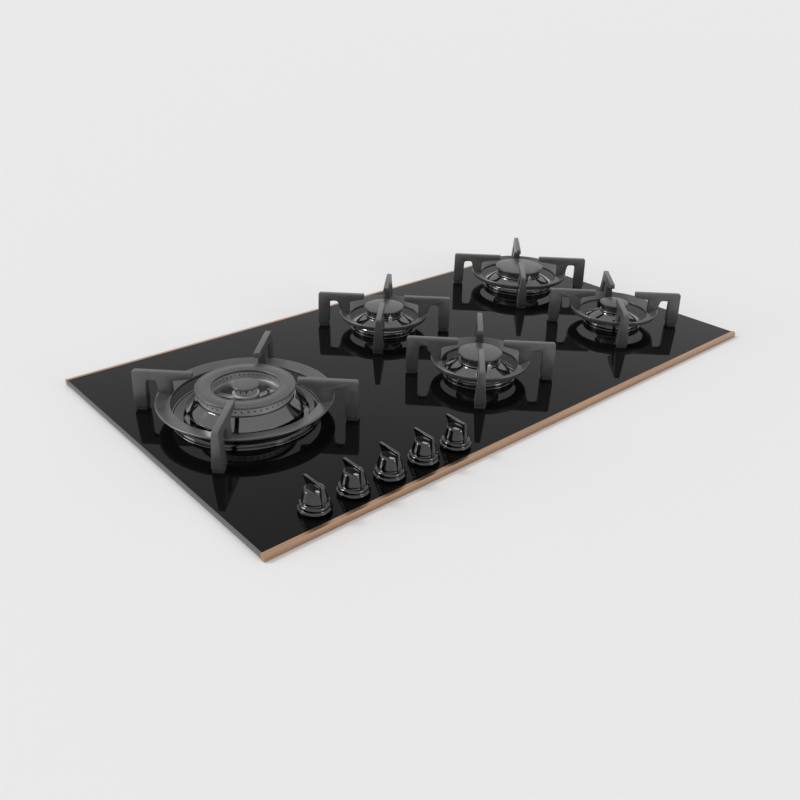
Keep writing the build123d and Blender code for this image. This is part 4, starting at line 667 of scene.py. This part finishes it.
def turn_about_axis(piece, degrees):
    """Turn a mesh about the upright axis, anticlockwise from above."""
    to_edit(piece)
    bpy.ops.transform.rotate(
        value=-math.radians(degrees), orient_axis="Z", center_override=(0, 0, 0),
    )
    to_object()


gas_arm = cast_arm("gas_arm", 6.5, 20.0, 0.85)
lug = cast_arm("lug", 8.6, 12.0, 0.9)
arms = []
for pattern, turns in ((gas_arm, GAS_ARM_TURNS), (lug, LUG_TURNS)):
    for turn in turns:
        arm = another(pattern, f"{pattern.name}_{turn:.0f}")
        turn_about_axis(arm, turn)
        arms.append(arm)
    bpy.data.objects.remove(pattern)
wok_inside = join_pieces([inner_ring, barrel, gas_boss("boss_wok")] + arms, "wok_inside")
set_down(wok_inside, WOK_CENTRE)
wok_inside.data.materials.append(as_cast)
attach(wok_inside, "hob")
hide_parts("wok_base")


# --- Wok flame rings -----------------------------------------------------------------------
# A ring-shaped spreader with ports through both of its walls, drawn as shallow recesses whose
# bottoms are painted black as the shade inside the holes, and a small one with sawn ports in the
# middle. Both are turned from one alloy, bare and lighter than the caps.
ring_alloy, shader, place = new_material("turned_ring_alloy", (0.52, 0.52, 0.525), 0.75, 0.48)
ring_grain = add_noise(ring_alloy, place, 500.0, 3.0, (1.0, 1.0, 3.0))
vary_roughness(ring_alloy, shader, ring_grain, 0.42, 0.54)
vary_colour(ring_alloy, shader, ring_grain, (0.47, 0.47, 0.475), (0.57, 0.57, 0.575))
# painted shade: the near-black of the port bottoms stands for the dark inside of the holes
port_shade, shader, place = new_material("painted_port_shade", (0.012, 0.012, 0.012), 0.0, 0.9)
port_shade_grain = add_noise(port_shade, place, 800.0, 2.0)
vary_colour(port_shade, shader, port_shade_grain, (0.008, 0.008, 0.008), (0.018, 0.018, 0.018))


WOK_PORTS = 48
STEPS_PER_PORT = 3
PORT_HEIGHT = 32.8
PORT_DEPTH = 1.4
PORT_LIP = 0.15
NEAR_WALL = 0.2
NEAR_LEVEL = 0.4
PORT_SHADE_SLOT = 1


def punch_ports(piece, radius, inwards):
    """Set one face per port back into the wall of a radius in mm, and paint its bottom black as the
    shade inside the port.
    """
    def is_port(face):
        x, y, z = face.center
        turn = (math.atan2(y, x) / math.tau * WOK_PORTS * STEPS_PER_PORT) % STEPS_PER_PORT
        on_wall = abs(math.hypot(x, y) - radius * MM) < NEAR_WALL * MM
        upright = abs(face.normal.z) < 1.0 - STRAIGHT
        outside = (face.normal.x * x + face.normal.y * y) > 0
        level = abs(z - GLASS_TOP - PORT_HEIGHT * MM) < NEAR_LEVEL * MM
        return on_wall and upright and outside != inwards and level and turn < 1.0

    select_faces(piece, is_port)
    bpy.ops.mesh.inset(thickness=PORT_LIP * MM, use_individual=True)
    bpy.ops.mesh.extrude_faces_move(TRANSFORM_OT_shrink_fatten={"value": -PORT_DEPTH * MM})
    piece.active_material_index = PORT_SHADE_SLOT
    bpy.ops.object.material_slot_assign()
    to_object()


OUTER_WALL = 60.5
INNER_WALL = 44.5
ring_spreader = turned_piece("ring_spreader", [
    (INNER_WALL, 27.6), (59.6, 27.6), (59.6, 28.4), (60.2, 28.7), (OUTER_WALL, 29.1),
    (OUTER_WALL, 31.55), (OUTER_WALL, 34.05), (OUTER_WALL, 36.5), (58.5, 36.5), (58.5, 30.0),
    (46.5, 30.0), (46.5, 36.5), (INNER_WALL, 36.5), (INNER_WALL, 34.05), (INNER_WALL, 31.55),
], steps=WOK_PORTS * STEPS_PER_PORT)
ring_spreader.data.materials.append(ring_alloy)
ring_spreader.data.materials.append(port_shade)
punch_ports(ring_spreader, OUTER_WALL, inwards=False)
punch_ports(ring_spreader, INNER_WALL, inwards=True)
shade_turned(ring_spreader)
set_down(ring_spreader, WOK_CENTRE)
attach(ring_spreader, "crown_wok")
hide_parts("wok_crown")

CENTRE_PORTS = 12
CENTRE_RIM = 34.7
centre_spreader = turned_piece("centre_spreader", [
    (9.4, 24.5), (11.4, 24.5), (11.4, 28.5), (16.4, 28.5), (17.0, 28.9), (17.0, 29.8), (16.6, 30.2),
    (14.6, 30.6), (14.5, 31.2), (15.0, 31.6), (15.0, CENTRE_RIM), (11.4, CENTRE_RIM), (11.4, 30.9),
    (9.4, 30.9),
], steps=CENTRE_PORTS * STEPS_PER_TOOTH)
raise_teeth(centre_spreader, 11.4, 15.0, CENTRE_RIM, CENTRE_PORTS)
shade_turned(centre_spreader)
set_down(centre_spreader, WOK_CENTRE)
centre_spreader.data.materials.append(ring_alloy)
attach(centre_spreader, "crown_wok_inner")
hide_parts("wok_inner_crown")


# --- Wok caps ------------------------------------------------------------------------------
# A flat enamelled ring with rounded edges covers the outer flame ring, on a plinth that keeps
# it clear of the flames, and a small round lid covers the middle one.
outer_lid = turned_piece("ring_lid", [
    (43.0, 38.3), (43.3, 38.05), (45.3, 38.0), (45.3, 36.5), (46.9, 36.5), (46.9, 35.0), (48.4, 35.0),
    (48.4, 36.5), (59.7, 36.5), (59.7, 38.0), (63.3, 38.0), (63.7, 38.2), (63.8, 38.5), (63.8, 39.4),
    (63.5, 40.1), (63.0, 40.5), (62.2, 40.78), (61.4, 40.8), (60.9, 40.55), (60.3, 40.55),
    (59.8, 40.8), (46.2, 40.8), (45.8, 40.6), (45.3, 40.6), (44.9, 40.8), (44.3, 40.8),
    (43.5, 40.45), (43.1, 39.9), (43.0, 39.3),
], steps=144)
round_edges(outer_lid, 0.1, angle=50.0)
set_down(outer_lid, WOK_CENTRE)
outer_lid.data.materials.append(enamel)
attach(outer_lid, "cap_wok_outer")
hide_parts("wok_outer_cap")

inner_lid = turned_piece("centre_lid", [
    (0.0, 38.9), (9.5, 38.9), (9.5, 35.9), (11.0, 35.9), (11.0, 38.9), (16.8, 38.9), (17.3, 39.2),
    (17.6, 39.7), (17.6, 40.9), (17.3, 41.5), (16.6, 42.0), (15.6, 42.15), (0.0, 42.5),
], steps=72)
round_edges(inner_lid, 0.1, angle=50.0)
set_down(inner_lid, WOK_CENTRE)
inner_lid.data.materials.append(enamel)
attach(inner_lid, "cap_wok_inner")
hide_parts("wok_inner_cap")


# --- Pan supports --------------------------------------------------------------------------
# Cast iron with satin enamel: a dished ring carries four upright fins that are narrow on top
# and widen towards the foot. Each fin has a slot between its foot and the ring.
iron, shader, place = new_material("enamelled_cast_iron", (0.062, 0.062, 0.064), 0.0, 0.32)
shader.inputs["Specular IOR Level"].default_value = 0.8
grain = add_noise(iron, place, 900.0, 3.0)
roughen_surface(iron, shader, grain, 0.00008)
patches = add_noise(iron, place, 60.0, 4.0)
vary_roughness(iron, shader, patches, 0.27, 0.37)
vary_colour(iron, shader, patches, (0.055, 0.055, 0.057), (0.070, 0.070, 0.072))

# All in millimetres: radii of the fins' backs and tips, of the ring and of its bore, heights of
# the ring at bore and rim, the ring's wall, and breadths of the fins on top and at the foot.
SUPPORTS = {
    "wok": {
        "back": 145.0, "tip": 67.5, "ring": 113.3, "bore": 94.5, "bore_height": 23.5,
        "rim_height": 26.5, "wall": 5.0, "top_breadth": 8.0, "foot_breadth": 15.0,
        "places": {"wok": WOK_CENTRE},
    },
    "small": {
        "back": 104.0, "tip": 31.6, "ring": 70.0, "bore": 54.0, "bore_height": 20.5,
        "rim_height": 28.0, "wall": 8.0, "top_breadth": 7.5, "foot_breadth": 16.0,
        "places": MID_REAR | MID_FRONT | RIGHT_FRONT,
    },
    "rapid": {
        "back": 117.0, "tip": 34.5, "ring": 84.5, "bore": 67.0, "bore_height": 20.5,
        "rim_height": 28.0, "wall": 8.0, "top_breadth": 7.5, "foot_breadth": 16.0,
        "places": RIGHT_REAR,
    },
}
SUPPORT_TOP = 54.0
FIN_FOOT = 5.0  # below it is the rubber pad
FIN_TURNS = (45.0, 135.0, 225.0, 315.0)
POST_WIDTH = 17.5  # from a fin's back to its slot
SLOT_WIDTH = 14.0
SLOT_SHOULDER = 37.5  # height where the slot's round top begins
SLOT_CORNER = 4.5
TIP_DEPTH = 7.5
ROOT_DEPTH = 12.0


def corner_arc(centre, radius, start, end, count=5):
    """Points of a rounded corner, from one angle to the other, in degrees."""
    points = []
    for i in range(count + 1):
        angle = math.radians(start + (end - start) * i / count)
        points.append((centre[0] + radius * math.cos(angle), centre[1] + radius * math.sin(angle)))
    return points


def thick_plate(name, corners, thickness):
    """Fill a closed line and thicken the face by a step in metres."""
    piece = draw_outline(name, corners)
    bpy.ops.mesh.edge_face_add()
    bpy.ops.mesh.select_all(action="SELECT")
    bpy.ops.mesh.extrude_region_move(TRANSFORM_OT_translate={"value": thickness})
    bpy.ops.mesh.select_all(action="SELECT")
    bpy.ops.mesh.normals_make_consistent(inside=False)
    to_object()
    return piece


def make_fin(name, support):
    """Thicken the fin's side view, narrow it towards the top and round its edges."""
    back, tip, ring, bore = (support[key] for key in ("back", "tip", "ring", "bore"))
    below_bore = support["bore_height"]
    top_breadth, foot_breadth = support["top_breadth"], support["foot_breadth"]
    slot_outer = back - POST_WIDTH
    slot_inner = slot_outer - SLOT_WIDTH
    root = SUPPORT_TOP - ROOT_DEPTH
    outline = [(tip, SUPPORT_TOP)]
    outline += corner_arc((back - 3.0, SUPPORT_TOP - 3.0), 3.0, 90, 0)
    outline += [(back + 0.8, FIN_FOOT), (slot_outer + 1.0, FIN_FOOT)]
    outline += corner_arc((slot_outer - 4.4, SLOT_SHOULDER), SLOT_CORNER, 0, 90)
    outline += corner_arc((slot_inner + 4.4, SLOT_SHOULDER), SLOT_CORNER, 90, 175)
    outline += [
        (ring - 1.6, support["rim_height"] - 3.0), (ring - 6.0, below_bore - 1.0),
        (bore + 0.6, below_bore - 2.5), (bore + 0.8, root - 4.0), (bore - 0.1, root - 1.0),
        (bore - 3.0, root + 0.4), (tip, SUPPORT_TOP - TIP_DEPTH),
    ]
    side_view = [(radius, -foot_breadth / 2, height) for radius, height in outline]
    fin = thick_plate(name, side_view, (0, foot_breadth * MM, 0))
    for vert in fin.data.vertices:
        share = (vert.co.z - GLASS_TOP - FIN_FOOT * MM) / ((SUPPORT_TOP - FIN_FOOT) * MM)
        vert.co.y *= (foot_breadth + (top_breadth - foot_breadth) * share) / foot_breadth
    round_edges(fin, 0.9, segments=3, angle=40.0)
    return fin


for size, support in SUPPORTS.items():
    ring, bore, inner, rim = (support[key] for key in ("ring", "bore", "bore_height", "rim_height"))
    under = rim - support["wall"]
    trivet = turned_piece(f"trivet_{size}", [
        (bore, inner - 0.3), (bore + 0.5, inner + 0.05), (ring - 3.2, rim - 0.5), (ring - 2.0, rim),
        (ring - 1.0, rim - 0.1), (ring - 0.2, rim - 0.8), (ring, rim - 1.8), (ring - 2.2, under + 0.4),
        (ring - 2.8, under), (ring - 3.8, under - 0.6), (bore + 1.5, inner - 4.5),
        (bore + 0.4, inner - 4.3), (bore, inner - 3.5),
    ], steps=144)
    round_edges(trivet, 0.4, angle=35.0)
    fin = make_fin(f"fin_{size}", support)
    fins = []
    for turn in FIN_TURNS:
        fins.append(another(fin, f"fin_{size}_{turn:.0f}"))
        turn_about_axis(fins[-1], turn)
    bpy.data.objects.remove(fin)
    trivet = join_pieces([trivet] + fins, f"trivet_{size}")
    trivet.data.materials.append(iron)
    for name, piece in set_down_copies(trivet, "trivet", support["places"]).items():
        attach(piece, f"support_{name}")
        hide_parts(f"pan_support_{name}")


# --- Support feet --------------------------------------------------------------------------
# Moulded rubber pads pressed into the foot of each fin, so that the iron never touches the
# glass. Matt, with the mould's fine grain.
pad_rubber, shader, place = new_material("moulded_pad_rubber", (0.03, 0.03, 0.031), 0.0, 0.75)
mould = add_noise(pad_rubber, place, 1200.0, 2.0)
roughen_surface(pad_rubber, shader, mould, 0.0001)
vary_colour(pad_rubber, shader, mould, (0.026, 0.026, 0.027), (0.038, 0.038, 0.039))
for support in SUPPORTS.values():
    for name in support["places"]:
        finish_node(f"support_pads_{name}", pad_rubber)


# --- Knobs ---------------------------------------------------------------------------------
# Black-chromed metal: a flange, a rounded ring and a cone, with a thin upright blade that runs
# down the cone's front as a rib. It shows the setting and gives the fingers a grip.
black_chrome, shader, place = new_material("black_chromed_knob", (0.055, 0.055, 0.057), 1.0, 0.06)
shader.inputs["Coat Weight"].default_value = 0.5
shader.inputs["Coat Roughness"].default_value = 0.03
touch = add_noise(black_chrome, place, 160.0, 3.0)
vary_roughness(black_chrome, shader, touch, 0.05, 0.11)
vary_colour(black_chrome, shader, touch, (0.050, 0.050, 0.052), (0.060, 0.060, 0.062))

dial = turned_piece("dial", [
    (4.0, 2.8), (18.4, 2.8), (19.0, 3.1), (19.3, 3.7), (19.3, 5.0), (19.0, 5.7), (18.2, 6.2),
    (17.4, 6.5), (17.15, 7.0), (17.4, 7.6), (17.6, 8.4), (17.6, 9.8), (17.4, 10.6), (16.9, 11.2),
    (16.2, 11.6), (15.0, 11.9), (14.4, 12.3), (14.2, 13.0), (14.35, 14.2), (14.8, 14.9), (15.1, 15.4),
    (14.8, 16.6), (13.6, 20.6), (12.2, 25.4), (11.6, 27.2), (11.2, 27.8), (10.6, 28.0), (0.0, 28.0),
    (0.0, 22.1), (4.0, 22.1),
])
round_edges(dial, 0.12, angle=40.0)

# the blade's side view, as distances behind the knob's axis and heights above the glass
BLADE_THICKNESS = 3.4
blade_outline = [
    (-16.4, 11.3), (-15.08, 35.2), (-14.8, 36.2), (-14.2, 36.8), (-13.3, 37.0), (16.6, 37.0),
    (17.5, 36.7), (17.9, 36.0), (17.7, 35.0), (13.0, 27.1), (9.6, 24.0), (-9.6, 24.0), (-13.3, 11.3),
]
side_view = [(-BLADE_THICKNESS / 2, behind, height) for behind, height in blade_outline]
blade = thick_plate("blade", side_view, (BLADE_THICKNESS * MM, 0, 0))
round_edges(blade, 0.5, segments=3, angle=40.0)
dial = join_pieces([dial, blade], "dial")
dial.data.materials.append(black_chrome)
KNOB_COUNT = 5
FIRST_KNOB_X = -0.365
KNOB_PITCH = 0.0525
KNOB_ROW_Y = -0.218
dial_places = {str(i + 1): (FIRST_KNOB_X + KNOB_PITCH * i, KNOB_ROW_Y) for i in range(KNOB_COUNT)}
for number, piece in set_down_copies(dial, "dial", dial_places).items():
    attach(piece, f"knob_{number}")
    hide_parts(f"knob_{number}")


# --- Taps and gas line ---------------------------------------------------------------------
# Die-cast tap bodies with brass plugs and steel spindles sit on the zinc-plated rail. Drawn
# aluminium pipes run to the burners, each ending in a brass injector.
steel, shader, place = new_material("bright_spindle_steel", (0.58, 0.58, 0.58), 1.0, 0.25)
ground = add_noise(steel, place, 600.0, 3.0, (1.0, 1.0, 4.0))
vary_roughness(steel, shader, ground, 0.2, 0.34)
vary_colour(steel, shader, ground, (0.54, 0.54, 0.54), (0.63, 0.63, 0.63))
brass, shader, place = new_material("machined_brass", (0.70, 0.54, 0.27), 1.0, 0.26)
tooled = add_noise(brass, place, 450.0, 3.0, (1.0, 1.0, 3.0))
vary_roughness(brass, shader, tooled, 0.2, 0.34)
vary_colour(brass, shader, tooled, (0.64, 0.49, 0.24), (0.75, 0.58, 0.30))
die_cast, shader, place = new_material("die_cast_alloy", (0.60, 0.61, 0.62), 1.0, 0.45)
skin = add_noise(die_cast, place, 300.0, 4.0)
vary_roughness(die_cast, shader, skin, 0.38, 0.52)
vary_colour(die_cast, shader, skin, (0.55, 0.56, 0.57), (0.65, 0.66, 0.67))
roughen_surface(die_cast, shader, skin, 0.00008)
drawn, shader, place = new_material("drawn_aluminium_pipe", (0.72, 0.73, 0.74), 1.0, 0.28)
lines = add_noise(drawn, place, 350.0, 2.0)
vary_roughness(drawn, shader, lines, 0.22, 0.35)
vary_colour(drawn, shader, lines, (0.68, 0.69, 0.70), (0.76, 0.77, 0.78))
for number in dial_places:
    finish_node(f"spindle_{number}", steel)
    finish_node(f"tap_plug_{number}", brass)
finish_node("gas_inlet", brass)
finish_node("injectors", brass)
finish_node("tap_bodies", die_cast)
finish_node("supply_pipes", drawn)


# --- Ignition and flame sensing ------------------------------------------------------------
# Each burner has a spark electrode, a steel pin in a glazed ceramic sleeve, and a
# thermocouple with a plain tip of heat-resisting alloy.
ceramic, shader, place = new_material("glazed_ceramic", (0.36, 0.35, 0.33), 0.0, 0.22)
glaze = add_noise(ceramic, place, 300.0, 3.0)
vary_roughness(ceramic, shader, glaze, 0.16, 0.3)
vary_colour(ceramic, shader, glaze, (0.33, 0.32, 0.30), (0.40, 0.39, 0.37))
finish_node("spark_electrodes", ceramic)
probe, shader, place = new_material("heat_resisting_probe", (0.38, 0.33, 0.29), 1.0, 0.35)
heat = add_noise(probe, place, 250.0, 3.0)
vary_roughness(probe, shader, heat, 0.28, 0.45)
vary_colour(probe, shader, heat, (0.32, 0.28, 0.25), (0.44, 0.38, 0.33))
finish_node("thermocouples", probe)


# --- Wiring --------------------------------------------------------------------------------
# The spark generator and the mains terminal are moulded boxes in dark grey nylon. Silicone
# leads run from the generator to the electrodes.
nylon, shader, place = new_material("moulded_grey_nylon", (0.10, 0.10, 0.105), 0.0, 0.55)
etched = add_noise(nylon, place, 1500.0, 2.0)
roughen_surface(nylon, shader, etched, 0.00005)
vary_colour(nylon, shader, etched, (0.092, 0.092, 0.097), (0.112, 0.112, 0.117))
finish_node("spark_generator", nylon)
finish_node("mains_terminal", nylon)
silicone, shader, place = new_material("silicone_lead", (0.09, 0.09, 0.09), 0.0, 0.5)
sleeve = add_noise(silicone, place, 800.0, 2.0)
vary_roughness(silicone, shader, sleeve, 0.42, 0.6)
vary_colour(silicone, shader, sleeve, (0.08, 0.08, 0.08), (0.10, 0.10, 0.10))
finish_node("ignition_wiring", silicone)
